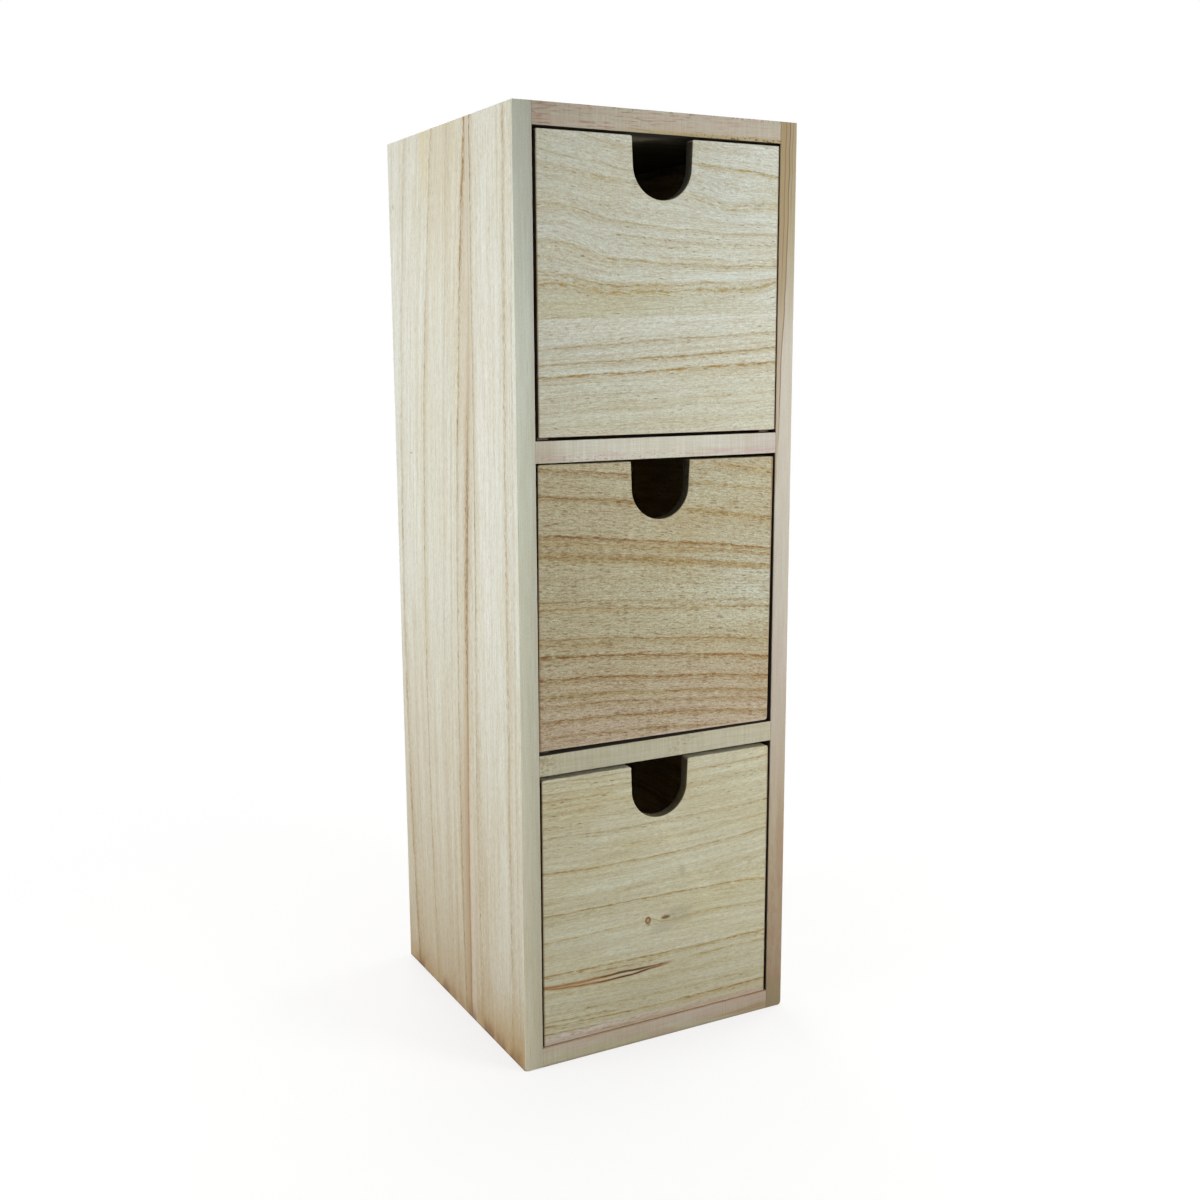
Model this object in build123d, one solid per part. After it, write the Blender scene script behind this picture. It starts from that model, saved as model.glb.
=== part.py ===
from build123d import *
import math
import os

# A tall narrow chest of plain pale wood, with three drawers one above the other.
# Sizes are millimetres and degrees. X runs to the right as seen from the front,
# Y from the front to the back and Z up. The origin is on the surface that the
# chest stands on, under the middle of its case.

# Case boards. The sides stand full height outside the four cross boards.
CASE_WIDTH = 120.0
CASE_DEPTH = 124.0
CASE_HEIGHT = 360.0
SIDE_THICKNESS = 7.5
BOARD_THICKNESS = 8.0

# Plywood back, let into a rebate around the back of the case
BACK_THICKNESS = 3.0
BACK_LAP = 4.0
BACK_PLAY = 0.1

# Hidden dowels between the cross boards and the sides
DOWEL_DIAMETER = 4.0
DOWEL_IN_SIDE = 5.0
DOWEL_IN_BOARD = 11.0
DOWEL_CHAMFER = 0.4
DOWEL_PLAY = 0.05
DOWEL_END_ROOM = 0.5
DOWEL_EDGE_DISTANCE = 22.0

# Fine steel pins with flat heads that are set flush
PIN_DIAMETER = 1.0
PIN_LENGTH = 12.0
PIN_TIP_LENGTH = 1.5
PIN_TIP_SHARE = 0.25
PIN_HEAD_DIAMETER = 2.2
PIN_HEAD_THICKNESS = 0.5
PIN_PLAY = 0.03
PINS_UP_EACH_SIDE = 4
PIN_END_DISTANCE = 18.0

# Drawer fronts, and the mean gap around each one in its bay
FRONT_THICKNESS = 4.5
FRONT_RECESS = 0.3
FRONT_SIDE_GAP = 0.9
FRONT_END_GAP = 1.1
NOTCH_WIDTH = 25.0
NOTCH_DEPTH = 22.2
NOTCH_LIP_RADIUS = 1.2

# How each front sits by hand fitting, as shares of the gap around it: how far it
# is moved to the right, turned clockwise as seen from the front, and raised
FRONT_SEATS = {
    "upper": {"right": 0.55, "turned": 0.0, "raised": 0.1},
    "middle": {"right": -0.39, "turned": 0.47, "raised": 0.25},
    "lower": {"right": -0.1, "turned": 0.15, "raised": -0.8},
}

# The upper front is glued up from two boards, on a line that rises to the right
GLUE_LINE_HEIGHT = 43.5
GLUE_LINE_SLOPE = 1.9

# Drawer boxes behind the fronts
WALL_THICKNESS = 4.5
WALL_DROP = 3.0
BOX_INSET = 0.8
BOX_BACK_GAP = 1.5
GLIDE_GAP = 0.2
HOUSING_DEPTH = 1.5
HOUSING_PLAY = 0.05
BOTTOM_THICKNESS = 3.0
BOTTOM_LIFT = 3.0
GROOVE_DEPTH = 1.5
GROOVE_PLAY = 0.1
WALL_PIN_END_DISTANCE = 14.0

# Worked out from the sizes above
drawers = list(FRONT_SEATS)
case_half = CASE_WIDTH / 2
bay_half = case_half - SIDE_THICKNESS
case_front = -CASE_DEPTH / 2
case_back = CASE_DEPTH / 2
panel_front = case_back - BACK_THICKNESS
bay_height = (CASE_HEIGHT - (len(drawers) + 1) * BOARD_THICKNESS) / len(drawers)
bay_pitch = bay_height + BOARD_THICKNESS

front_width = 2 * (bay_half - FRONT_SIDE_GAP)
front_height = bay_height - 2 * FRONT_END_GAP
front_back = case_front + FRONT_RECESS + FRONT_THICKNESS
most_turn = min(FRONT_SIDE_GAP / (front_height / 2), FRONT_END_GAP / (front_width / 2))
box_half = front_width / 2 - BOX_INSET
box_back = panel_front - BOX_BACK_GAP
back_wall_front = box_back - WALL_THICKNESS
pin_radius = PIN_DIAMETER / 2
pin_head_radius = PIN_HEAD_DIAMETER / 2
dowel_radius = DOWEL_DIAMETER / 2


def block(x, y, z):
    """A box between the given pairs of coordinates."""
    middle = Pos((x[0] + x[1]) / 2, (y[0] + y[1]) / 2, (z[0] + z[1]) / 2)
    return middle * Box(abs(x[1] - x[0]), abs(y[1] - y[0]), abs(z[1] - z[0]))


def grown(pair, by):
    """A pair of coordinates, low one first, moved apart by the same amount."""
    return (min(pair) - by, max(pair) + by)


def spread(first, last, count):
    """Evenly spaced values from first to last."""
    return [first + (last - first) * i / (count - 1) for i in range(count)]


def bay_floor(drawer):
    """Height of the surface that a drawer slides on."""
    return BOARD_THICKNESS + (len(drawers) - 1 - drawers.index(drawer)) * bay_pitch


# Fasteners. Each pin is given by the point under the middle of its head's outer
# face and the way that it is driven.


def pin(point, way):
    shank_length = PIN_LENGTH - PIN_TIP_LENGTH
    lowest = (Align.CENTER, Align.CENTER, Align.MIN)
    head = Cylinder(pin_head_radius, PIN_HEAD_THICKNESS, align=lowest)
    shank = Cylinder(pin_radius, shank_length, align=lowest)
    tip = Cone(pin_radius, pin_radius * PIN_TIP_SHARE, PIN_TIP_LENGTH, align=lowest)
    return Plane(point, z_dir=way).location * (head + shank + Pos(0, 0, shank_length) * tip)


def pin_hole(point, way):
    lowest = (Align.CENTER, Align.CENTER, Align.MIN)
    shank = Cylinder(pin_radius + PIN_PLAY, PIN_LENGTH + PIN_PLAY, align=lowest)
    head = Cylinder(pin_head_radius + PIN_PLAY, PIN_HEAD_THICKNESS, align=lowest)
    return Plane(point, z_dir=way).location * (shank + head)


def dowel_places():
    """Middle of each dowel's joint line, with the side that it goes into."""
    depths = (case_front + DOWEL_EDGE_DISTANCE, panel_front - DOWEL_EDGE_DISTANCE)
    for side in (-1, 1):
        for level in range(len(drawers) + 1):
            for y in depths:
                yield side, Vector(side * bay_half, y, BOARD_THICKNESS / 2 + level * bay_pitch)


def dowel_along_x(side, place, radius, in_side, in_board):
    start = place.X + side * in_side
    end = place.X - side * in_board
    middle = Pos((start + end) / 2, place.Y, place.Z)
    return middle * Rot(0, 90, 0) * Cylinder(radius, in_side + in_board)


def dowels():
    made = []
    for side, place in dowel_places():
        one = dowel_along_x(side, place, dowel_radius, DOWEL_IN_SIDE, DOWEL_IN_BOARD)
        made.append(chamfer(one.edges().filter_by(GeomType.CIRCLE), DOWEL_CHAMFER))
    return made


def dowel_holes():
    radius = dowel_radius + DOWEL_PLAY
    in_side = DOWEL_IN_SIDE + DOWEL_END_ROOM
    in_board = DOWEL_IN_BOARD + DOWEL_END_ROOM
    return [dowel_along_x(side, place, radius, in_side, in_board) for side, place in dowel_places()]


def back_pin_places():
    """Points on the back of the case, all along the middle of each lap."""
    beside = bay_half + BACK_LAP / 2
    low = BOARD_THICKNESS - BACK_LAP / 2
    high = CASE_HEIGHT - low
    heights = spread(low + PIN_END_DISTANCE, high - PIN_END_DISTANCE, PINS_UP_EACH_SIDE)
    places = [(side * beside, z) for side in (-1, 1) for z in heights]
    shelves = [BOARD_THICKNESS / 2 + level * bay_pitch for level in range(1, len(drawers))]
    across = (-bay_half / 2, bay_half / 2)
    places += [(x, z) for x in across for z in [low, high] + shelves]
    return [Vector(x, case_back, z) for x, z in places]


# Case


def back_panel_span(play):
    """Width and height pairs of the back panel, or of its rebate at no play."""
    low = BOARD_THICKNESS - BACK_LAP + play
    half = bay_half + BACK_LAP - play
    return (-half, half), (low, CASE_HEIGHT - low)


def case_cuts():
    """Everything that is cut out of the case boards: rebate, dowel holes, pin holes."""
    across, up = back_panel_span(0)
    rebate = block(across, (panel_front, case_back + BACK_THICKNESS), up)
    pin_holes = [pin_hole(place, (0, -1, 0)) for place in back_pin_places()]
    return [rebate] + dowel_holes() + pin_holes


def cut_with(board, cuts):
    """The board less those of the cuts that reach its box."""
    box = board.bounding_box()
    near = [cut for cut in cuts if cut.bounding_box().overlaps(box)]
    return board - near if near else board


def side_board(side, cuts):
    board = block(
        (side * bay_half, side * case_half), (case_front, case_back), (0, CASE_HEIGHT)
    )
    return cut_with(board, cuts)


def cross_board(level, cuts):
    """One of the boards between the sides, counted up from the bottom board."""
    low = level * bay_pitch
    outer = level in (0, len(drawers))
    back = case_back if outer else panel_front
    board = block((-bay_half, bay_half), (case_front, back), (low, low + BOARD_THICKNESS))
    return cut_with(board, cuts)


def back_panel():
    across, up = back_panel_span(BACK_PLAY)
    panel = block(across, (panel_front, case_back), up)
    return panel - [pin_hole(place, (0, -1, 0)) for place in back_pin_places()]


def back_pins():
    return [pin(place, (0, -1, 0)) for place in back_pin_places()]


# Drawers


class Seat:
    """Where one drawer and its front lie in their bay."""

    def __init__(self, drawer):
        shares = FRONT_SEATS[drawer]
        turn = shares["turned"] * most_turn
        spare_height = FRONT_END_GAP - front_width / 2 * math.sin(turn)
        self.turn = math.degrees(turn)
        self.x = shares["right"] * FRONT_SIDE_GAP
        self.front_z = bay_floor(drawer) + bay_height / 2 + shares["raised"] * spare_height
        self.low = bay_floor(drawer) + GLIDE_GAP
        self.high = bay_floor(drawer) + bay_height - FRONT_END_GAP - WALL_DROP
        self.panel_low = self.low + BOTTOM_LIFT
        self.panel_high = self.panel_low + BOTTOM_THICKNESS
        self.inner = (self.x - box_half + WALL_THICKNESS, self.x + box_half - WALL_THICKNESS)

    def wall_span(self, side):
        """Width pair of one side wall, inner face first."""
        return (self.x + side * (box_half - WALL_THICKNESS), self.x + side * box_half)

    def panel_span(self, depth):
        """Width pair of the bottom panel, or of its groove, let into the walls."""
        return (self.inner[0] - depth, self.inner[1] + depth)


def front_outline():
    """Front board as a flat face about its own middle, notched in its top edge."""
    radius = NOTCH_WIDTH / 2
    top = front_height / 2
    arc_height = top - NOTCH_DEPTH + radius
    straight = Pos(0, (top + arc_height) / 2) * Rectangle(NOTCH_WIDTH, top - arc_height)
    face = Rectangle(front_width, front_height) - Pos(0, arc_height) * Circle(radius) - straight
    corners = face.vertices().group_by(Axis.Y)[-1]
    lips = corners.sort_by(lambda corner: abs(corner.X))[:2]
    return fillet(lips, NOTCH_LIP_RADIUS)


def below_glue_line():
    """Flat face that covers all of a front that is below its glue line."""
    reach = front_width + front_height
    middle = GLUE_LINE_HEIGHT - front_height / 2
    return Pos(0, middle) * Rot(0, 0, GLUE_LINE_SLOPE) * Pos(0, -reach / 2) * Rectangle(reach, reach)


def drawer_front(seat, outline):
    """A front board, or one strip of it, with housings for the box behind it."""
    board = Pos(seat.x, front_back, seat.front_z) * Rot(90, 0, 0) * Rot(0, 0, -seat.turn)
    board = board * extrude(outline, FRONT_THICKNESS)
    deep = (front_back - HOUSING_DEPTH, front_back + HOUSING_DEPTH)
    housing = (seat.low - FRONT_END_GAP, seat.high + HOUSING_PLAY)
    for side in (-1, 1):
        board -= block(grown(seat.wall_span(side), HOUSING_PLAY), deep, housing)
    groove = grown((seat.panel_low, seat.panel_high), GROOVE_PLAY)
    return board - block(seat.inner, deep, groove)


def wall_pin_places(seat, side):
    """Points on the outside of a side wall, along the middle of the back wall's end."""
    y = (back_wall_front + box_back) / 2
    low = seat.panel_high + WALL_PIN_END_DISTANCE
    high = seat.high - WALL_PIN_END_DISTANCE
    return [Vector(seat.x + side * box_half, y, z) for z in (low, high)]


def bottom_pin_places(seat):
    """Points under the bottom panel, below the back wall."""
    y = (back_wall_front + box_back) / 2
    quarter = (seat.inner[1] - seat.inner[0]) / 4
    return [Vector(x, y, seat.panel_low) for x in (seat.x - quarter, seat.x + quarter)]


def drawer_pin_ways(seat):
    """Every pin of one drawer, as a point and the way that it is driven."""
    ways = [(place, (-side, 0, 0)) for side in (-1, 1) for place in wall_pin_places(seat, side)]
    return ways + [(place, (0, 0, 1)) for place in bottom_pin_places(seat)]


def drawer_pin_holes(seat):
    return [pin_hole(place, way) for place, way in drawer_pin_ways(seat)]


def side_wall(seat, side):
    wall = block(
        seat.wall_span(side), (front_back - HOUSING_DEPTH, box_back), (seat.low, seat.high)
    )
    along = (front_back - FRONT_THICKNESS, box_back + BOX_BACK_GAP)
    groove = grown((seat.panel_low, seat.panel_high), GROOVE_PLAY)
    wall -= block(seat.panel_span(GROOVE_DEPTH), along, groove)
    return cut_with(wall, drawer_pin_holes(seat))


def back_wall(seat):
    wall = block(seat.inner, (back_wall_front, box_back), (seat.panel_high, seat.high))
    return cut_with(wall, drawer_pin_holes(seat))


def bottom_panel(seat):
    panel = block(
        seat.panel_span(GROOVE_DEPTH - GROOVE_PLAY),
        (front_back, box_back),
        (seat.panel_low, seat.panel_high),
    )
    tongue_front = front_back - HOUSING_DEPTH + GROOVE_PLAY
    tongue = block(
        grown(seat.inner, -GROOVE_PLAY), (tongue_front, front_back), (seat.panel_low, seat.panel_high)
    )
    return cut_with(panel + tongue, drawer_pin_holes(seat))


def drawer_pins(seat):
    return [pin(place, way) for place, way in drawer_pin_ways(seat)]


def drawer_nodes(drawer):
    """Every piece of one drawer, by name."""
    seat = Seat(drawer)
    name = drawer + "_drawer_"
    outline = front_outline()
    nodes = {}
    if drawer == "upper":
        strip = below_glue_line()
        nodes[name + "front_top_board"] = drawer_front(seat, outline - strip)
        nodes[name + "front_bottom_board"] = drawer_front(seat, outline & strip)
    else:
        nodes[name + "front"] = drawer_front(seat, outline)
    nodes[name + "left_wall"] = side_wall(seat, -1)
    nodes[name + "right_wall"] = side_wall(seat, 1)
    nodes[name + "back_wall"] = back_wall(seat)
    nodes[name + "bottom"] = bottom_panel(seat)
    nodes[name + "pins"] = Compound(drawer_pins(seat))
    return nodes


def case_nodes():
    """Every piece of the case, by name."""
    cuts = case_cuts()
    levels = ["bottom_board", "lower_shelf", "upper_shelf", "top_board"]
    nodes = {
        "left_side": side_board(-1, cuts),
        "right_side": side_board(1, cuts),
        "back_panel": back_panel(),
        "case_dowels": Compound(dowels()),
        "back_panel_pins": Compound(back_pins()),
    }
    for level, name in enumerate(levels):
        nodes[name] = cross_board(level, cuts)
    return nodes


def main():
    nodes = case_nodes()
    for drawer in drawers:
        nodes.update(drawer_nodes(drawer))
    os.makedirs("parts", exist_ok=True)
    for name, shape in nodes.items():
        export_step(shape, "parts/" + name + ".step")
    print(len(nodes), "nodes written")


main()
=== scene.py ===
"""Looks of a tall narrow chest of plain pale wood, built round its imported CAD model.

The file is laid out as an add-on and is run as a script. X runs to the right as seen from
the front, Y from the front to the back and Z up, as in the CAD. Places and sizes are named in
millimetres, and MM turns them into metres where a mesh, a lamp or the camera is made.
"""

import math
from collections import namedtuple

import bmesh
import bpy
from bpy.props import FloatProperty, FloatVectorProperty, IntProperty, PointerProperty
from bpy.types import Operator, Panel, PropertyGroup
from mathutils import Matrix, Vector


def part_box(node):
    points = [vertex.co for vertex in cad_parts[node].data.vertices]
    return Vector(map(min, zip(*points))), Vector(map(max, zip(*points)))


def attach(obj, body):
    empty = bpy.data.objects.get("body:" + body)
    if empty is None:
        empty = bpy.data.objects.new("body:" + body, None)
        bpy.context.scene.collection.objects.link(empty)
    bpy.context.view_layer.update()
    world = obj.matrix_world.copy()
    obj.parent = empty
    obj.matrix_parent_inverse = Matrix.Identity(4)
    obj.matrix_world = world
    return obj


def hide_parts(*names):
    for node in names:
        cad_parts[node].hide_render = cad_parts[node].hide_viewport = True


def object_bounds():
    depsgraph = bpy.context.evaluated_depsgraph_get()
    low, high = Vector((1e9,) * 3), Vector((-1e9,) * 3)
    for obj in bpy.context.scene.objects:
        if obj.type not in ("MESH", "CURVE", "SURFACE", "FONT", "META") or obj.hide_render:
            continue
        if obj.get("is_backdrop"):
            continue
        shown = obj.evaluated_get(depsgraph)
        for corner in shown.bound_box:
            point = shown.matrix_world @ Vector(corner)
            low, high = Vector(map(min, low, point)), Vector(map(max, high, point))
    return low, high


bl_info = {
    "name": "Wooden Drawer Chest",
    "version": (1, 0, 0),
    "blender": (4, 5, 0),
    "location": "3D View > Sidebar > Drawer Chest",
    "description": "Models the boards of a small chest of drawers and gives them their wood",
    "category": "Object",
}

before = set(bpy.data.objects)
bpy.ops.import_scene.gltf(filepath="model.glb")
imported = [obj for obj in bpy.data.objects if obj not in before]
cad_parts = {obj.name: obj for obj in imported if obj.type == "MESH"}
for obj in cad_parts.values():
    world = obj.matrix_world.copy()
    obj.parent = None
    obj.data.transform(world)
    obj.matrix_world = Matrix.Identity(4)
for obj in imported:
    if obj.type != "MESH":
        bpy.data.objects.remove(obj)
cad_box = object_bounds()

MM = 0.001

# Case, as the CAD has it
CASE_HALF = 60
CASE_FRONT = -62
CASE_BACK = 62
CASE_HEIGHT = 360
BAY_HALF = 52.5

# On the back panel's outer face, shorter edges than this belong to the recesses of its pins
SHORTEST_OUTLINE_EDGE = 50

# Drawer fronts, each about its own middle: how far right, how high and how many degrees
# clockwise it sits
FRONT_WIDTH = 103.2
FRONT_HEIGHT = 107.133
FRONT_THICKNESS = 4.5
FRONT_FACE = -61.7
FRONT_SEATS = {
    "upper": (0.495, 297.44, 0),
    "middle": (-0.351, 180.17, 0.4525),
    "lower": (-0.09, 61.89, 0.144),
}
FOOT_PLAY = 0.06
HOUSING_PLAY = 0.05
NOTCH_HALF = 12.5
NOTCH_DEPTH = 22.2
NOTCH_ARC_HEIGHT = FRONT_HEIGHT / 2 - NOTCH_DEPTH + NOTCH_HALF
NOTCH_STEPS = 14
CORNER_SEGMENTS = 5
PAST_FRONT = FRONT_FACE + FRONT_THICKNESS + 3
GLUE_LINE_POINT = (0.495, 287.373)
GLUE_LINE_SLOPE = 1.9

# Rounding of each front's corners and of its notch's lips, worn by hand: upper left, upper
# right, lower left, lower right, then left and right lip
FRONT_ROUNDS = {
    "upper": (0.5, 0.4, 0.6, 0.5, 1.1, 0.4),
    "middle": (0.8, 0.5, 0.4, 1.3, 0.4, 0.3),
    "lower": (0.7, 1.2, 0.4, 0.5, 1.5, 0.8),
}


def srgb(red, green, blue):
    """A colour given as it looks on a screen, 0 to 255, turned into the linear one."""
    shares = (red / 255, green / 255, blue / 255)
    return tuple(s / 12.92 if s <= 0.04045 else ((s + 0.055) / 1.055) ** 2.4 for s in shares)


# Settings that a user would change


def length(name, description, millimetres):
    return FloatProperty(
        name=name, description=description, default=millimetres * MM, min=0, unit="LENGTH", precision=5
    )


def amount(name, description, default):
    return FloatProperty(name=name, description=description, default=default, min=0)


def tint(name, description, red, green, blue):
    return FloatVectorProperty(
        name=name,
        description=description,
        default=srgb(red, green, blue),
        size=3,
        min=0,
        max=1,
        subtype="COLOR",
    )


class ChestShape(PropertyGroup):
    """Small shapes that sanding and use have given the boards."""

    case_ease: length("Case easing", "Rounding of the outer edges of the case", 0.35)
    joint_ease: length("Joint easing", "Rounding of edges where two boards meet", 0.12)
    front_ease: length("Front easing", "Rounding of the edges of the drawer fronts", 0.28)
    box_ease: length("Box easing", "Rounding of the edges of the drawer boxes", 0.3)
    foot_round: length("Foot wear", "Rounding of the side boards' outer lower front corners", 1.8)
    notch_flare: length("Notch flare", "How much wider each notch is at its mouth, each side", 0.45)
    fibre_tear: length("Torn fibres", "How far fibres stand off the rim of a notch", 0.2)
    tear_seed: IntProperty(name="Tear seed", description="Picks another set of torn fibres", default=4)


class ChestWood(PropertyGroup):
    """Colours of the wood."""

    side: tint("Sides", "Wood of the two side boards", 220, 218, 202)
    upper: tint("Upper front", "Wood of the upper drawer front", 209, 210, 192)
    middle: tint("Middle front", "Wood of the middle drawer front", 184, 175, 142)
    lower: tint("Lower front", "Wood of the lower drawer front", 207, 204, 176)
    board: tint("Cross boards", "Wood of the top, the shelves and the bottom board", 206, 200, 178)
    box: tint("Drawer boxes", "Wood of the walls of the drawers", 205, 186, 150)
    ply: tint("Plywood", "Face of the back panel and of the drawer bottoms", 204, 184, 148)
    gold: tint("Growth lines", "Golden growth lines of the wood", 174, 148, 76)
    rust: tint("Dark growth lines", "Rusty growth lines of the drawer fronts", 146, 98, 46)
    tan: tint("Side growth lines", "Tan growth lines of the side boards", 156, 120, 66)
    pore: tint("Pores", "Open pores, seen as short dashes", 120, 84, 46)
    steel: tint("Pins", "Heads of the steel pins", 176, 174, 168)


class ChestStage(PropertyGroup):
    """Lamps, floor and camera."""

    left_power: amount("Left lamp", "Power in watts", 2.3)
    front_power: amount("Front lamp", "Power in watts", 1.95)
    top_power: amount("Top lamp", "Power in watts", 5)
    far_power: amount("Far lamps", "Power in watts of the lamps at the right and behind", 3.6)
    fill: amount("Fill", "Even light from above and all round", 0.25)
    floor: tint("Floor", "Colour of the floor", 240, 240, 238)
    lens: amount("Lens", "Focal length in mm", 42.387)


# Modelling helpers


def select_only(piece):
    bpy.ops.object.select_all(action="DESELECT")
    piece.select_set(True)
    bpy.context.view_layer.objects.active = piece


def open_mesh(piece):
    select_only(piece)
    bpy.ops.object.mode_set(mode="EDIT")


def close_mesh():
    bpy.ops.mesh.select_all(action="DESELECT")
    bpy.ops.object.mode_set(mode="OBJECT")


def pick(piece, kind, test):
    """Selects the vertices, edges or faces of the open mesh that pass the test."""
    bpy.ops.mesh.select_mode(type=kind)
    bpy.ops.mesh.select_all(action="DESELECT")
    mesh = bmesh.from_edit_mesh(piece.data)
    parts = {"VERT": mesh.verts, "EDGE": mesh.edges, "FACE": mesh.faces}[kind]
    for part in parts:
        if test(part):
            part.select_set(True)
    mesh.select_flush_mode()
    bmesh.update_edit_mesh(piece.data)


def ends(edge):
    """The two end points of an edge, in millimetres."""
    return [corner.co / MM for corner in edge.verts]


def both_at(edge, axis, value, slack=0.02):
    return all(abs(end[axis] - value) < slack for end in ends(edge))


def runs_along(edge, axis):
    way = edge.verts[1].co - edge.verts[0].co
    return way.length > 0 and abs(way[axis]) > 0.99 * way.length


def is_sharp(edge):
    return len(edge.link_faces) == 2 and edge.calc_face_angle() > math.radians(20)


def ease_edges(piece, test, size, segments=2):
    """Rounds off the edges that pass the test."""
    open_mesh(piece)
    pick(piece, "EDGE", test)
    bpy.ops.mesh.bevel(offset=size, offset_type="OFFSET", segments=segments, affect="EDGES")
    close_mesh()


def set_down(piece):
    """Puts a piece's place, turn and size into its mesh."""
    select_only(piece)
    bpy.ops.object.transform_apply(location=True, rotation=True, scale=True)


def add_block(name, low, high):
    """A block between two corners in millimetres, to be shaped or to cut with."""
    bpy.ops.object.select_all(action="DESELECT")
    middle = [(a + b) / 2 * MM for a, b in zip(low, high)]
    bpy.ops.mesh.primitive_cube_add(size=1, location=middle)
    block = bpy.context.active_object
    block.name = name
    block.scale = [(b - a) * MM for a, b in zip(low, high)]
    set_down(block)
    return block


def cut_away(piece, cutter):
    """Takes the cutter's shape out of the piece, and then removes the cutter."""
    select_only(piece)
    cut = piece.modifiers.new("cut", "BOOLEAN")
    cut.operation = "DIFFERENCE"
    cut.solver = "EXACT"
    cut.object = cutter
    bpy.ops.object.modifier_apply(modifier=cut.name)
    select_only(cutter)
    bpy.ops.object.delete()


def working_copy(node, name):
    """A merged copy of a CAD node, with whole faces in place of its loose triangles."""
    piece = bpy.data.objects.new(name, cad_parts[node].data.copy())
    piece.data.name = name
    bpy.context.scene.collection.objects.link(piece)
    open_mesh(piece)
    bpy.ops.mesh.select_all(action="SELECT")
    bpy.ops.mesh.remove_doubles(threshold=0.001 * MM)
    bpy.ops.mesh.customdata_custom_splitnormals_clear()
    bpy.ops.mesh.dissolve_limited(angle_limit=math.radians(0.5))
    close_mesh()
    return piece


def finish_piece(piece, body, nodes, material):
    """Shading, material, its body and the hiding of its CAD nodes for one finished piece."""
    select_only(piece)
    bpy.ops.object.shade_smooth_by_angle(angle=math.radians(20))
    piece.data.materials.clear()
    piece.data.materials.append(material)
    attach(piece, body)
    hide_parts(*nodes)
    return piece


# Material writing


def both_ways(operation):
    """A strand's method for one sum with another value, and its reflected form."""

    def forward(self, other):
        return self.maths(operation, self, other)

    def reflected(self, other):
        return self.maths(operation, other, self)

    return forward, reflected


class Strand:
    """One socket of a finish, with the arithmetic that its patterns are written in."""

    __add__, __radd__ = both_ways("ADD")
    __sub__, __rsub__ = both_ways("SUBTRACT")
    __mul__, __rmul__ = both_ways("MULTIPLY")
    __truediv__ = both_ways("DIVIDE")[0]
    __pow__ = both_ways("POWER")[0]
    most = both_ways("MAXIMUM")[0]
    least = both_ways("MINIMUM")[0]

    def __init__(self, finish, socket):
        self.finish = finish
        self.socket = socket

    def __abs__(self):
        return self.maths("ABSOLUTE", self)

    def maths(self, operation, *values):
        return self.finish.node("ShaderNodeMath", {"operation": operation}, dict(enumerate(values)))

    def root(self):
        return self.maths("SQRT", self)

    def eased(self, low, high, first, last):
        """first below low and last above high, smoothly between."""
        given = {0: self, 1: low, 2: high, 3: first, 4: last}
        return self.finish.node("ShaderNodeMapRange", {"interpolation_type": "SMOOTHSTEP"}, given)

    def rising(self, low, high):
        """0 below low and 1 above high, smoothly between."""
        return self.eased(low, high, 0, 1)

    def falling(self, low, high):
        """1 below low and 0 above high, smoothly between."""
        return self.eased(low, high, 1, 0)

    def hump(self, middle, reach):
        """1 at the middle, falling smoothly to 0 at the reach on both sides."""
        return abs(self - middle).falling(0, reach)

    def other_output(self, index):
        return Strand(self.finish, self.socket.node.outputs[index])


# How far red, green and blue go down where wood is darker
TONE_PULL = (0.7, 1, 1.48)


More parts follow.
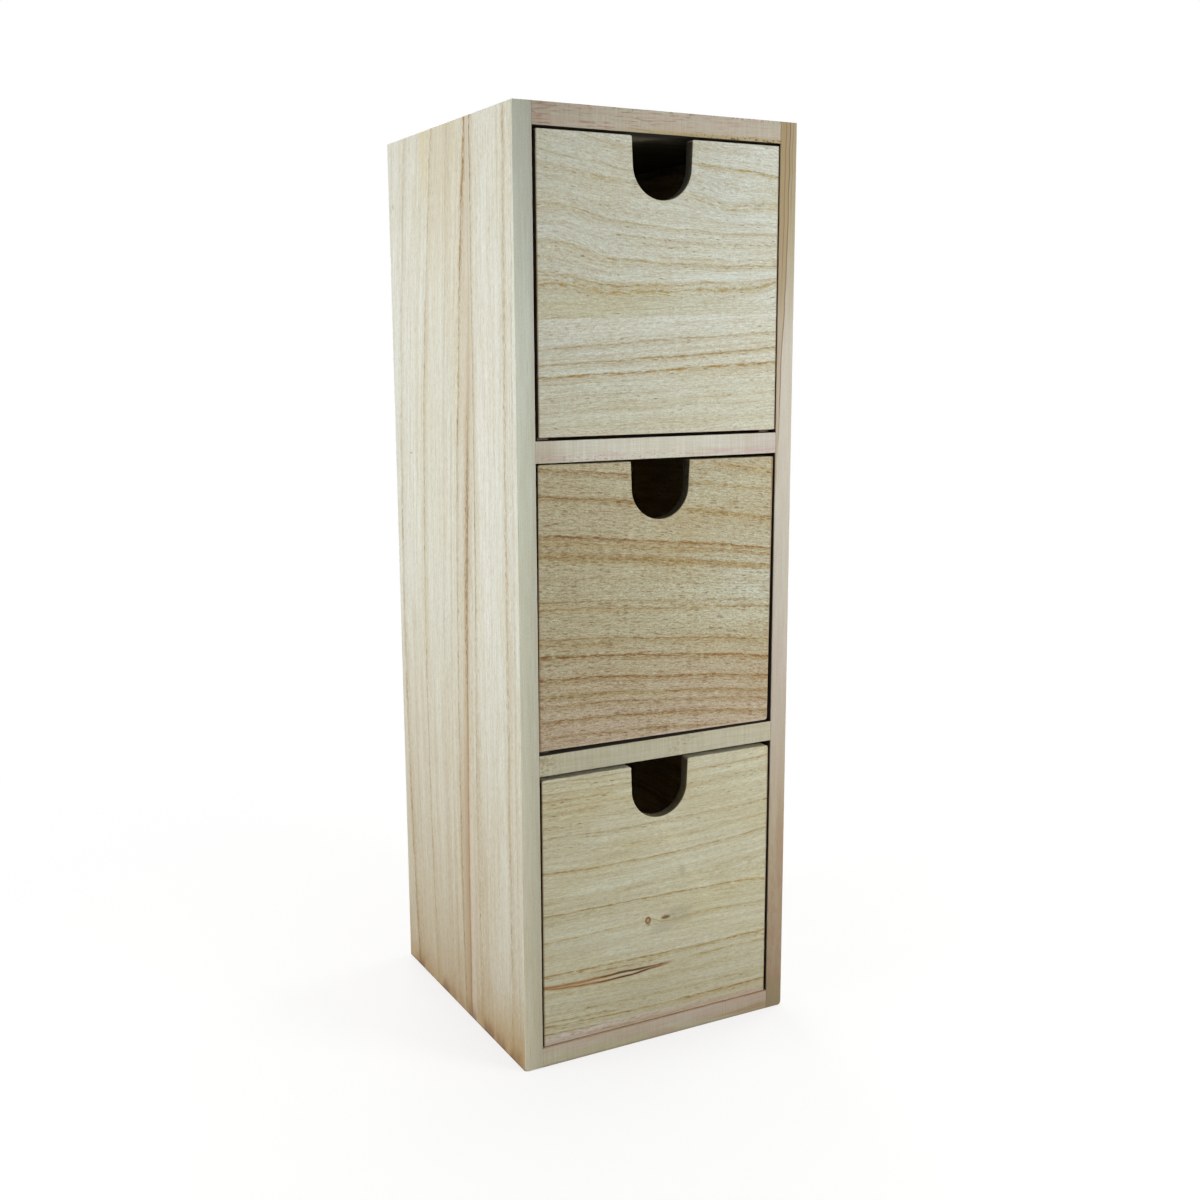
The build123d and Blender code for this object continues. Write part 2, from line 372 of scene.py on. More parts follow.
class Draft:
    """A node tree while it is written."""

    def __init__(self, tree):
        self.tree = tree

    def node(self, kind, settings=None, links=None, output=0):
        """Adds a node. Its settings are set first, and then its sockets."""
        made = self.tree.nodes.new(kind)
        for key, value in (settings or {}).items():
            if key == "stops":
                self.set_stops(made.color_ramp, value)
            else:
                setattr(made, key, value)
        for key, value in (links or {}).items():
            if isinstance(value, Strand):
                self.tree.links.new(value.socket, made.inputs[key])
            else:
                made.inputs[key].default_value = value
        return Strand(self, made.outputs[output]) if made.outputs else None

    def set_stops(self, ramp, stops):
        while len(ramp.elements) < len(stops):
            ramp.elements.new(1)
        for element, (place, colour) in zip(ramp.elements, stops):
            element.position = place
            element.color = (*colour, 1)

    def vector(self, x, y, z):
        return self.node("ShaderNodeCombineXYZ", {}, {0: x, 1: y, 2: z})

    def mix(self, share, first, second):
        """A colour between two others."""
        given = {0: share, 6: self.solid(first), 7: self.solid(second)}
        return self.node("ShaderNodeMix", {"data_type": "RGBA"}, given, output=2)

    def solid(self, colour):
        return colour if isinstance(colour, Strand) else (*colour, 1)

    def lighten(self, colour, share):
        """The colour made brighter or darker by a share that varies."""
        return self.node("ShaderNodeVectorMath", {"operation": "SCALE"}, {0: colour, 3: share})

    def tone(self, colour, depth):
        """The colour made brighter or darker by a depth that varies, and the darker the warmer."""
        shares = self.vector(*(1 + depth * pull for pull in TONE_PULL))
        return self.node("ShaderNodeVectorMath", {"operation": "MULTIPLY"}, {0: colour, 1: shares})

    def course(self, value, low, high, stops):
        """A number that follows a given course of (place, number) stops."""
        numbers = [number for place, number in stops]
        least = min(numbers)
        spread = max(numbers) - least
        marks = [
            ((place - low) / (high - low), ((number - least) / spread,) * 3) for place, number in stops
        ]
        given = {0: value, 1: low, 2: high, 3: 0, 4: 1}
        share = self.node("ShaderNodeMapRange", {"interpolation_type": "LINEAR"}, given)
        ramp = self.node("ShaderNodeValToRGB", {"stops": marks}, {0: share})
        return ramp * spread + least

    def noise(self, x, y, z, detail=2, roughness=0.5):
        """Noise over three coordinates that are already counted in its own grains."""
        given = {"Vector": self.vector(x, y, z), "Scale": 1, "Detail": detail, "Roughness": roughness}
        return self.node("ShaderNodeTexNoise", {"noise_dimensions": "3D"}, given)

    def cells(self, x, y, z):
        """Distance to the nearest of scattered points, with a chance for each point."""
        given = {"Vector": self.vector(x, y, z), "Scale": 1}
        distance = self.node("ShaderNodeTexVoronoi", {"feature": "F1"}, given)
        chance = self.node("ShaderNodeSeparateColor", {}, {0: distance.other_output(1)})
        return distance, chance


class Finish(Draft):
    """A material while it is written, with its places in millimetres."""

    def __init__(self, name):
        self.material = bpy.data.materials.new(name)
        self.material.use_nodes = True
        super().__init__(self.material.node_tree)
        self.tree.nodes.clear()
        self.shader = self.tree.nodes.new("ShaderNodeBsdfPrincipled")
        output = self.tree.nodes.new("ShaderNodeOutputMaterial")
        self.tree.links.new(self.shader.outputs[0], output.inputs[0])
        place = self.node("ShaderNodeTexCoord", output=3)
        self.x, self.y, self.z = (
            self.node("ShaderNodeSeparateXYZ", {}, {0: place}, output=axis) / MM for axis in range(3)
        )

    def done(self, colour, roughness, height, relief):
        """Joins the colour, the roughness and a height in millimetres to the shader."""
        bump = self.node("ShaderNodeBump", {}, {"Strength": relief, "Distance": MM, "Height": height})
        for name, value in (("Base Color", colour), ("Roughness", roughness), ("Normal", bump)):
            self.tree.links.new(value.socket, self.shader.inputs[name])
        self.shader.inputs["Specular IOR Level"].default_value = 0.3
        return self.material


# One growth line: its height in the middle of the board, its breadth, how golden and how
# brown it is, how many pores lie along it, between which places it shows, and how slowly it
# fades there
Line = namedtuple(
    "Line",
    "height breadth gold brown pores start end fade",
    defaults=(0.8, 0, 0, 0, -1000, 1000, 4),
)

# A place where the grain is pushed aside, with its reach and how far it is pushed
Swell = namedtuple("Swell", "along across reach_along reach_across push")

# How the grain of one board lies. Its axes run along the grain, across it and through the
# board, whose shown face is at `face`. The climbs say how far a growth line has risen from the
# board's middle at its first and at its last end, by the height at which it gets there. The
# strength is how plain the lines are at those ends.
Grain = namedtuple(
    "Grain",
    "axes face middle half low high first_climb last_climb lines swells wander fray dashed strength seed",
    defaults=((), 0.5, 0.35, 0.4, (1, 1), 0),
)
GRAIN_LEAN = 0.35

PLACE_INPUTS = ("flow", "along", "beads")
LINE_INPUTS = (*PLACE_INPUTS, *Line._fields, "gold before", "brown before", "band before")
LINE_OUTPUTS = ("gold total", "brown total", "band total")


def growth_line_group():
    """Node group that adds one growth line to what the lines before it have drawn."""
    name = "growth_line"
    if name in bpy.data.node_groups:
        return bpy.data.node_groups[name]
    tree = bpy.data.node_groups.new(name, "ShaderNodeTree")
    for way, sockets in (("INPUT", LINE_INPUTS), ("OUTPUT", LINE_OUTPUTS)):
        for socket in sockets:
            tree.interface.new_socket(socket, in_out=way, socket_type="NodeSocketFloat")
    draft = Draft(tree)
    entry = draft.node("NodeGroupInput")
    flow, along, beads = (entry.other_output(name) for name in PLACE_INPUTS)
    line = Line(*(entry.other_output(field) for field in Line._fields))
    place = (flow - line.height) / line.breadth
    reach = along.rising(line.start - line.fade, line.start + line.fade)
    reach = reach * along.falling(line.end - line.fade, line.end + line.fade)
    core = abs(place).falling(0.1, 1)
    halo = (place.rising(-4.5, 0) - place.rising(-0.2, 0.6)).most(0)
    shape = (core * beads + halo * 0.42) * reach
    band = (place.rising(-3.6, 0.2) - place.rising(0.4, 1.2)).most(0) * reach
    drawn = {"gold": shape * line.gold, "brown": shape * line.brown, "band": band * line.pores}
    totals = {
        f"{kind} total": entry.other_output(f"{kind} before") + share for kind, share in drawn.items()
    }
    draft.node("NodeGroupOutput", {}, totals)
    return tree


class Wood(Finish):
    """A finish of plain unfinished wood with open pores."""

    def __init__(self, name, grain):
        super().__init__(name)
        self.grain = grain
        coordinates = {"X": self.x, "Y": self.y, "Z": self.z}
        self.along, self.across, self.through = (coordinates[axis] for axis in grain.axes)
        self.flow = self.lay_flow()
        self.gold, self.brown, self.band = self.draw_lines()

    def lay_flow(self):
        """Height across the board, measured along its bent grain."""
        grain = self.grain
        share = (self.along - grain.middle) / grain.half
        first = self.course(self.across, grain.low, grain.high, grain.first_climb)
        last = self.course(self.across, grain.low, grain.high, grain.last_climb)
        climb = last * (share * (share + 1) / 2) + first * (share * (share - 1) / 2)
        flow = self.across - climb + (self.through - grain.face) * GRAIN_LEAN
        for swell in grain.swells:
            beside = ((self.along - swell.along) / swell.reach_along) ** 2
            above = ((self.across - swell.across) / swell.reach_across) ** 2
            flow = flow - (beside + above).root().falling(0, 1) * swell.push
        slow = self.noise(self.along / 26 + grain.seed, self.across / 11, self.through / 30, 1)
        quick = self.noise(self.along / 6, self.across / 3.2 + grain.seed, self.through / 8, 1)
        fray = self.noise(self.along / 1.8, self.across / 0.9, self.through / 2 + grain.seed, 1)
        flow = flow + (slow - 0.5) * (4 * grain.wander) + (quick - 0.5) * grain.wander
        return flow + (fray - 0.5) * grain.fray

    def streaks(self, along, across, detail=2, roughness=0.55):
        """Noise drawn out along the grain: sizes of its streaks in millimetres."""
        seed = self.grain.seed
        return self.noise(
            self.along / along + seed, self.flow / across, self.through / (across * 2), detail, roughness
        )

    def draw_lines(self):
        """Shares of golden and of brown line, and of the porous band beside each line."""
        gold = brown = band = 0
        beads = (self.streaks(9, 1.1) * 3.6 - 1).most(0.12)
        dashed = self.grain.dashed
        frayed = (self.streaks(2.6, 0.5) * (3.4 + 2.4 * dashed) - (0.8 + 1.2 * dashed)).most(0.12)
        for line in self.grain.lines:
            before = {"gold before": gold, "brown before": brown, "band before": band}
            given = {"flow": self.flow, "along": self.along, "beads": beads} | line._asdict() | before
            gold = self.node("ShaderNodeGroup", {"node_tree": growth_line_group()}, given)
            brown, band = gold.other_output(1), gold.other_output(2)
        first, last = self.grain.strength
        if first != last:
            share = (self.along - self.grain.middle) / (2 * self.grain.half) + 0.5
            frayed = frayed * (share * (last - first) + first)
        return (gold * frayed).least(1), (brown * frayed).least(1), band

    def coat(self, colour, marks):
        """The colour with the coats of the given marks over it."""
        for mark in marks:
            for share, hue in mark(self, self.x, self.y, self.z):
                if callable(hue):
                    colour = hue(colour, share)
                else:
                    hue = hue if isinstance(hue, Strand) else srgb(*hue)
                    colour = self.mix(share, colour, hue)
        return colour

    def dashes(self, length, breadth, density, reach=0.42):
        """Short dashes of open pore, more of them where the density is higher."""
        seed = self.grain.seed
        distance, chance = self.cells(
            self.along / length + seed, self.flow / breadth, self.through / (2 * breadth)
        )
        return distance.falling(0.12, reach) * (density - chance).rising(0, 0.05)


# How strong the soft bands, the long silky fibres and the short ones are, how many pores lie
# away from the growth lines, how strong the warm clouds, the rosy tinge, the speckle and the
# dark threads are, and how large each pore is
WOOD_TEXTURE = {
    "band": 0.16,
    "silk": 0.5,
    "short": 0.5,
    "sparse": 0.06,
    "cloud": 0.6,
    "rosy": 0.2,
    "speckle": 0.8,
    "threads": 0.7,
    "reach": 0.42,
}


def wood(name, grain, base, colours, ground=(), marks=(), deep=None, **more):
    """Unfinished wood in the given base colour, with its darkest lines in the colour deep.
    ground adds what one board alone has under its growth lines, and marks what it has over
    them. The rest changes its texture."""
    texture = WOOD_TEXTURE | more
    silk = texture["silk"]
    short = texture["short"]
    sparse = texture["sparse"]
    reach = texture["reach"]
    finish = Wood(name, grain)
    deep = deep or colours.rust
    if callable(deep):
        deep = deep(finish)
    broad = finish.noise(
        finish.along / 45 + grain.seed, finish.across / 16, finish.through / 30 + grain.seed, 2
    )
    tinge = finish.noise(finish.along / 34, finish.flow / 3.5 + grain.seed, finish.through / 20, 2)
    bands = finish.streaks(70, 2.2, 2)
    fine = finish.streaks(13, 0.62, 1.5)
    stubs = finish.streaks(2.6, 0.46, 1)
    specks = finish.noise(finish.along / 0.8, finish.flow / 0.42, finish.through / 0.7, 1)
    warm = [base[0] * 0.96, base[1] * 0.90, base[2] * 0.76]
    pink = [base[0] * 0.99, base[1] * 0.93, base[2] * 0.92]
    honey = [base[0] * 0.94, base[1] * 0.87, base[2] * 0.68]
    colour = finish.mix(broad.rising(0.38, 0.70) * texture["cloud"], base, warm)
    colour = finish.mix(tinge.rising(0.46, 0.68) * texture["rosy"], colour, pink)
    colour = finish.coat(colour, ground)
    colour = finish.mix((finish.band * 1.4).least(0.75), colour, honey)
    colour = finish.mix(finish.gold, colour, colours.gold)
    colour = finish.mix(finish.brown, colour, deep)
    pores = finish.dashes(3.6, 0.66, finish.band * 1.1 + sparse, reach)
    pores = pores.most(finish.dashes(1.8, 0.52, finish.band * 0.7 + sparse, reach) * 0.8)
    shade = (bands - 0.5) * (4 * texture["band"]) + (fine - 0.5) * silk + (stubs - 0.5) * short
    colour = finish.tone(colour, shade + (specks - 0.5) * (short * texture["speckle"]))
    thread = (0.5 - stubs).most(0) + (0.46 - fine).most(0)
    colour = finish.mix(thread * (short * texture["threads"]), colour, deep)
    colour = finish.mix(pores * 0.66, colour, colours.pore)
    colour = finish.coat(colour, marks)
    height = (fine - 0.5) * 0.07 + (stubs - 0.5) * 0.06 - pores * 0.06
    roughness = 0.62 + (fine - 0.5) * 0.3 + pores * 0.15
    return finish.done(colour, roughness, height, 0.5)


# Grain of the boards that the photograph shows, read off it in millimetres


def front_grain(low, high, **more):
    return Grain("XZY", FRONT_FACE, 0, 51, low, high, **more)


UPPER_TOP_GRAIN = front_grain(
    280,
    352,
    first_climb=((284, -1.5), (298, 2), (313, 6), (326, 6.5), (350, 6.5)),
    last_climb=((287, 1.6), (300, 4), (306, 0.3), (317, -1.5), (328, -3.5), (340, -4.5), (350, -4.5)),
    swells=(Swell(30, 328, 24, 13, -2.4), Swell(-40, 318, 18, 30, 1.6)),
    wander=0.75,
    dashed=0.2,
    strength=(0.6, 0.95),
    seed=3.1,
    lines=(
        Line(346, 0.8, gold=0.48, start=-31, end=-11),
        Line(347.6, 0.5, gold=0.2, brown=0.05, start=26),
        Line(344.2, 0.8, gold=0.6, pores=0.15, start=14),
        Line(337.6, 0.5, gold=0.16, brown=0.06, pores=0.2, end=-12),
        Line(333.2, 0.9, gold=0.34, pores=0.14),
        Line(331.6, 0.8, gold=0.34, pores=0.12, start=10),
        Line(324.4, 0.5, gold=0.12, brown=0.1, pores=0.14, start=12),
        Line(319.4, 0.8, gold=0.2, brown=0.14, pores=0.3),
        Line(314.6, 0.5, gold=0.12, brown=0.12, pores=0.3, start=-20),
        Line(312.6, 0.5, brown=0.12, pores=0.3, start=-12, end=14),
        Line(308.6, 0.6, gold=0.28, pores=0.2, start=-2),
        Line(306.4, 0.9, gold=0.48, brown=0.04, pores=0.15),
        Line(298.4, 1.1, gold=0.4, pores=0.1),
        Line(296, 1.1, gold=0.48, pores=0.1),
        Line(297.2, 3, gold=0.26, end=4),
        Line(291.5, 1.6, gold=0.2, end=-8),
    ),
)
UPPER_BOTTOM_GRAIN = front_grain(
    240,
    290,
    first_climb=((243, -1), (253, -2), (265, -2.3), (275, -3.3), (285, -2.5)),
    last_climb=((243, 0.8), (249, 0.8), (270, 2.7), (276, 3.5), (286, 2.5)),
    wander=0.3,
    dashed=0.2,
    strength=(1, 1),
    seed=7.7,
    lines=(
        Line(283.6, 0.6, gold=0.18, brown=0.06, start=5),
        Line(278.4, 0.7, gold=0.34, brown=0.14, pores=0.12),
        Line(274.6, 0.9, gold=0.2),
        Line(272.2, 0.7, gold=0.42, brown=0.2, pores=0.14),
        Line(267.3, 0.85, gold=0.68, brown=0.2, pores=0.14),
        Line(264.5, 0.5, gold=0.2),
        Line(259.8, 0.5, gold=0.12, brown=0.08, pores=0.1, end=5),
        Line(256.8, 0.6, gold=0.2, brown=0.05, pores=0.1),
        Line(254.3, 0.6, gold=0.12, brown=0.08, pores=0.14, end=0),
        Line(248.3, 0.8, gold=0.2, pores=0.06),
    ),
)
MIDDLE_GRAIN = front_grain(
    120,
    240,
    first_climb=((127, 2), (137, 1.9), (145, 3.5), (170, 4), (184, 3.5), (208, 5), (233, 5.5)),
    last_climb=((127, -5), (153, -6.4), (160, -6), (175, -3.4), (190, -6), (209, -7), (229, -6)),
    wander=0.4,
    fray=0.75,
    dashed=1,
    strength=(1, 0.86),
    seed=12.4,
    lines=(
        Line(234.2, 0.7, gold=0.5, brown=0.2, pores=0.2, start=24),
        Line(227.4, 0.7, gold=0.2, brown=0.46, pores=0.4, end=-12),
        Line(226.8, 0.6, gold=0.5, brown=0.2, pores=0.12, start=12),
        Line(217.4, 0.7, gold=0.2, brown=0.54, pores=0.7, end=-10),
        Line(215.8, 0.8, gold=0.42, brown=0.18, pores=0.5, start=12),
        Line(203.2, 0.6, gold=0.46, brown=0.85, pores=0.3),
        Line(202.2, 0.6, gold=0.16),
        Line(200.8, 0.6, gold=0.2, brown=0.14, pores=0.5),
        Line(195.9, 0.8, gold=0.34, brown=0.2, pores=0.9),
        Line(197.3, 0.6, gold=0.14, brown=0.2, pores=0.6, end=10),
        Line(180.1, 0.7, gold=0.16, brown=0.2, pores=0.12),
        Line(177.2, 0.8, gold=0.4, brown=0.2, pores=0.15),
        Line(165.6, 0.5, gold=0.3, brown=0.36, pores=0.4),
        Line(163.4, 0.7, gold=0.1, brown=0.2, pores=0.45, end=-20),
        Line(159.1, 0.7, gold=0.4, brown=0.85, pores=0.5),
        Line(150.6, 0.8, gold=0.45, brown=0.66, pores=0.4),
        Line(144.6, 0.7, gold=0.15, brown=0.26, pores=0.6),
        Line(141, 0.65, gold=0.25, brown=0.38, pores=0.25),
        Line(135.6, 0.7, gold=0.34, brown=0.38, pores=0.38),
        Line(129.9, 0.65, gold=0.24, brown=0.34, pores=0.2),
    ),
)
LOWER_GRAIN = front_grain(
    5,
    120,
    first_climb=(
        (11, 2.4),
        (16, 2),
        (32, 1.6),
        (50, 0),
        (61, 0.9),
        (66, 0),
        (78, 1.2),
        (92, 1),
        (110, 0.4),
    ),
    last_climb=((14, 0), (35, -0.3), (48, -2), (57, -3.2), (70, 3.9), (80, 2.8), (93, 1.5), (112, 2.1)),
    swells=(Swell(-5, 52.5, 7, 5, 1), Swell(3, 49, 9, 5, -1.2), Swell(11, 50, 9, 6, -1)),
    wander=0.26,
    fray=0.22,
    dashed=0,
    strength=(1, 0.72),
    seed=21,
    lines=(
        Line(113.9, 0.5, gold=0.4, brown=0.1, end=-10),
        Line(111.8, 0.6, gold=0.2, brown=0.06, pores=0.14, end=-14),
        Line(109.6, 0.6, gold=0.34, brown=0.16, pores=0.12),
        Line(106.6, 0.6, gold=0.36, brown=0.16, pores=0.24, end=-20),
        Line(104, 1.1, gold=0.28, brown=0.06, pores=0.14),
        Line(99, 2, gold=0.24, pores=0.05),
        Line(101.4, 1.1, gold=0.2, brown=0.04, pores=0.14, end=-26),
        Line(95.6, 1, gold=0.18, pores=0.14, end=-30),
        Line(91.2, 0.8, gold=0.25, brown=0.12, pores=0.12),
        Line(88, 0.9, gold=0.16, pores=0.12, end=-32),
        Line(84.3, 2.2, gold=0.22),
        Line(77.4, 0.6, gold=0.66, brown=0.12),
        Line(66.2, 1.8, gold=0.26),
        Line(60.6, 0.55, gold=0.75, brown=0.2),
        Line(57.4, 2.4, gold=0.18),
        Line(50.4, 0.6, gold=0.42, brown=0.04, pores=0.04),
        Line(35.8, 0.7, gold=0.55, brown=0.24, pores=0.24),
        Line(31.8, 0.7, gold=0.6, brown=0.08, start=16),
        Line(33.7, 0.45, gold=0.4, brown=0.5, start=-30, end=-1),
        Line(26.8, 2, gold=0.26),
        Line(18.9, 1, gold=0.3, pores=0.05),
        Line(15.9, 0.5, gold=0.3, brown=0.14, pores=0.12, end=-18),
        Line(14.1, 0.6, gold=0.6, brown=0.25, pores=0.12),
        Line(14.1, 0.6, gold=0.4, brown=0.24, start=10),
        Line(10.7, 0.7, gold=0.7, brown=0.25, end=0),
        Line(8.9, 0.6, gold=0.3, brown=0.3),
    ),
)
LEFT_SIDE_GRAIN = Grain(
    "ZYX",
    face=-CASE_HALF,
    middle=CASE_HEIGHT / 2,
    half=CASE_HEIGHT / 2,
    low=CASE_FRONT,
    high=CASE_BACK,
    first_climb=((-51, 0), (-22, 0), (-8.5, 4.5), (-5, -0.5), (12, 1), (26, -5), (49, -8), (62, -9)),
    last_climb=((-54, -3), (-24, -2), (-20.5, -16.5), (-3, -13), (11.5, -19), (42, -15), (62, -15)),
    wander=0.3,
    seed=5.3,
    lines=(
        Line(57, 1.8, gold=0.1, brown=0.14),
        Line(57, 2, gold=0.1, brown=0.15, end=220, fade=28),
        Line(57, 2.6, gold=0.06, brown=0.16, end=80, fade=40),
        Line(46, 2.6, brown=0.12, end=170),
        Line(31.5, 1.1, gold=0.3, brown=0.2, pores=0.04),
        Line(10.5, 2, brown=0.16),
        Line(2.5, 1.2, gold=0.06, brown=0.08, end=250),
        Line(-4, 1.3, gold=0.2, brown=0.32, pores=0.06),
        Line(-4, 2.6, gold=0.1, brown=0.34, start=300, fade=34),
        Line(-13.6, 2, gold=0.14, brown=0.14, pores=0.12),
        Line(-18.5, 1.4, brown=0.12),
        Line(-22, 1.3, gold=0.1, brown=0.16, pores=0.04),
        Line(-22, 1, brown=0.26, pores=0.08, start=180, fade=40),
        Line(-22.2, 0.8, brown=0.3, pores=0.1, start=285, fade=40),
        Line(-51.2, 1.7, gold=0.26, brown=0.2, pores=0.06),
        Line(-57.6, 0.8, gold=0.16, brown=0.08),
    ),
)

# Height of the left board's broad vein across its grain
VEIN = -13.6


def plain_lines(low, high, step, seed, gold=0.3, brown=0.2):
    """Growth lines for a board that the photograph doesn't show, at a natural spacing."""
    lines = []
    height = low + step * (0.3 + 0.5 * abs(math.sin(seed)))
    count = 0
    while height < high:
        sway = math.sin(seed + 2.4 * count)
        share = 0.75 + 0.45 * sway
        lines.append(Line(height, 0.8 + 0.3 * sway, gold * share, brown * (1.4 - share), 0.1 * share))
        height += step * (1 + 0.45 * math.sin(seed * 3 + 1.7 * count))
        count += 1
    return tuple(lines)


def plain_grain(axes, low, high, along_middle, along_half, seed, step=9, bow=3, **share):
    """Grain of a board that the photograph doesn't show."""
    first = ((low, bow * math.sin(seed)), (high, bow * math.cos(seed)))
    last = ((low, bow * math.cos(seed * 2)), (high, bow * math.sin(seed * 2)))
    lines = plain_lines(low, high, step, seed, **share)
    return Grain(axes, 0, along_middle, along_half, low, high, first, last, lines, seed=seed)


# What single boards have besides their grain. Each of these yields coats of colour: the share
# and the hue of each, or the share and the finish's own method that changes the colour.


def away(first, second):
    """Distance from the middle of a round spot, given two distances that are counted in its size."""
    return (first**2 + second**2).root()


def sawn_and_shaded_edges(right, top, top_spared, burnt_and_shaded):
    """Walls of a front's edges and notch: browned by the saw and darkened as painted shade of the gaps,
    with a worn arris before them.
    The front's middle is at right. Its upper edge, at the height top, is spared the darkening by the share
    top_spared."""

    def mark(finish, x, y, z):
        depth = y - FRONT_FACE
        walls = depth.rising(0.1, 0.32) * depth.falling(FRONT_THICKNESS - 0.3, FRONT_THICKNESS - 0.1)
        burn = finish.noise(x / 3, y / 1.2, z / 3, 2)
        walls = walls * (1 - (z - top).rising(-0.9, -0.5) * top_spared)
        worn = finish.noise(x / 5, y / 2, z / 5, 2)
        arris = finish.mix(worn.rising(0.4, 0.6), srgb(160, 122, 76), srgb(222, 210, 176))
        yield depth.hump(0.1, 0.12) * 0.4, arris
        # Painted shade: the face darkens within 0.7 mm of its left and right edges, so the gaps beside it
        # look wider and darker.
        side = abs(x - right).rising(FRONT_WIDTH / 2 - 0.7, FRONT_WIDTH / 2 - 0.2)
        yield side * (0.3 + worn * 0.6), (138, 94, 58)
        foot = (z - top + FRONT_HEIGHT).falling(0.3, 1) * depth.falling(0.3, 0.5)
        yield foot * 0.4, (222, 206, 188)
        # Partly saw brown and partly painted shade: the walls of the edges and notch are darkened so the
        # gaps and notch look shaded.
        yield (walls * (0.7 + burn * 0.3)).least(1), burnt_and_shaded

    return mark


# The two strands of the lower front's dark streak: how far right and how high each passes
UPPER_STRAND = ((-53, 32.8), (-44.4, 31.9), (-34.4, 31.6), (-18.7, 31.6), (-5.9, 31.1), (6, 31.2))
LOWER_STRAND = ((-53, 32.4), (-44.4, 30.8), (-36, 30.2), (-27.3, 29.7), (-13, 29.5), (-4.4, 30.2), (6, 31))


def lower_front_marks(finish, x, y, z):
    """Two small knots with their smoky halo, and the dark double streak."""
    wave = (finish.noise(x / 7, z / 9, y / 9, 1) - 0.5) * 0.5
    strokes = finish.noise(x / 4, z / 0.5, y / 4, 2)
    fade = x.falling(3, 7)
    dark = 0
    for strand, breadth in ((UPPER_STRAND, 0.66), (LOWER_STRAND, 0.54)):
        beside = abs(z - finish.course(x, -53, 6, strand) - wave)
        dark = (beside / (0.7 + x.rising(-46, -28) * 0.3)).falling(0.2, breadth).most(dark)
        glow = beside.falling(0.2, 1.3) * fade * x.falling(-40, 6)
        yield glow * 0.55, (178, 128, 54)
    core = (x + 14).hump(0, 22)
    dark = dark * fade * (0.3 + strokes * 1.6) * (0.62 + core * 0.38)
    ink = finish.mix(core, srgb(144, 90, 16), srgb(84, 42, 2))
    yield dark.least(0.95), ink

    halo = away((x - 9) / 9, (z - 51) / 5).falling(0.3, 1)
    halo = halo.most(away((x - 1) / 7, (z - 46.5) / 3).falling(0.3, 1))
    halo = halo.most(away((x - 10.6) / 2.2, (z - 69) / 3.4).falling(0.3, 1))
    yield halo * 0.3, (146, 140, 120)
    left_knot = away((x + 5.2) / 1.2, (z - 50.9) / 1.4)
    right_knot = away((x - 3) / 2.1, (z - 50.7) / 0.8)
    ring = left_knot.hump(0.85, 0.5)
    yield left_knot.falling(0.7, 1.3) * 0.7, (170, 130, 72)
    yield ring * 0.85, (112, 78, 36)
    yield right_knot.falling(0.6, 1.3) * 0.9, (124, 86, 40)
    tail = (z - 49).hump(0, 1.2) * (x + 5).hump(0, 1.6)
    yield tail * 0.6, (132, 112, 80)
    scuff = (z - 11).hump(0, 2.4) * x.falling(-30, 30)
    chalk = finish.noise(x / 2.5, z / 0.6, y / 4, 2).rising(0.36, 0.62)
    yield scuff * (0.25 + chalk * 0.75), (216, 207, 196)


def lower_front_ground(finish, x, y, z):
    """The lower front is duller low on the right, and pinkish along its foot."""
    dull = z.falling(18, 48) * x.rising(-44, 0)
    yield dull * 0.6, (190, 183, 153)
    cloud = finish.noise(x / 9, z / 1.2, y / 9, 2)
    foot = z.falling(8.5, 12.5)
    yield foot * (0.3 + cloud * 0.5), (184, 150, 138)


def above_glue_line(x, z):
    """Height above the upper front's glue line, in millimetres."""
    right, height = GLUE_LINE_POINT
    climb = math.tan(math.radians(GLUE_LINE_SLOPE))
    return z - height - (x - right) * climb


def upper_top_ground(finish, x, y, z):
    """The upper front's main board grows whiter to the right, partly its own paler wood and partly a
    painted light gradient, and greener at its foot.
    """
    # Partly painted light: the whitening to the right stands in for part of the light falling off to the
    # left.
    white = x.rising(-25, 45) * finish.streaks(30, 4)
    yield white * 0.9, (221, 226, 215)
    green = above_glue_line(x, z).falling(2, 15) * x.falling(-20, 90)
    yield green * 0.5, (198, 196, 160)


def upper_bottom_ground(finish, x, y, z):
    """The upper front's lower board grows whiter to the right, partly as a painted light gradient, and is
    whitest along the glue line and duller at its foot.
    """
    # Partly painted light: the whitening to the right stands in for part of the light falling off to the
    # left.
    white = x.rising(-25, 45) * finish.streaks(30, 3)
    yield white * 0.6, (220, 221, 205)
    pale = above_glue_line(x, z).rising(-10, -2)
    yield pale * 0.5, (219, 220, 206)
    dull = z.falling(246, 276)
    yield dull * 0.5, (202, 201, 176)


def upper_bottom_marks(finish, x, y, z):
    """Small brown spot and tick near the foot of the upper front."""
    spot = away((x + 20) / 0.9, (z - 243.8) / 0.55)
    yield spot.falling(0.5, 1) * 0.75, (142, 96, 52)
    tick = away((x + 44) / 1.3, (z - 246.9) / 0.35)
    yield tick.falling(0.5, 1) * 0.5, (140, 108, 70)


def middle_ground(finish, x, y, z):
    """The middle front grows pinker towards its foot, paler across its middle, and paler to the right
    partly as a painted light gradient.
    """
    cloud = finish.streaks(24, 3)
    foot = z.falling(126, 172) * cloud
    yield foot * 0.7, (196, 168, 152)
    pale = (z.hump(180, 20) + z.hump(222, 12) * 0.6) * x.rising(-50, 30)
    yield pale * cloud, (200, 203, 178)
    # Partly painted light: paler to the right, standing in for part of the light falling off to the left.
    right = x.rising(8, 40) * z.hump(186, 34)
    yield right * 0.32, (200, 204, 188)


def middle_deep(finish):
    """Colour of the middle front's dark lines: browner on the left, redder at the foot."""
    brown = finish.x.rising(-34, 36)
    colour = finish.mix(brown, srgb(128, 92, 52), srgb(154, 110, 46))
    return finish.mix(finish.z.falling(132, 172) * 0.7, colour, srgb(138, 84, 58))


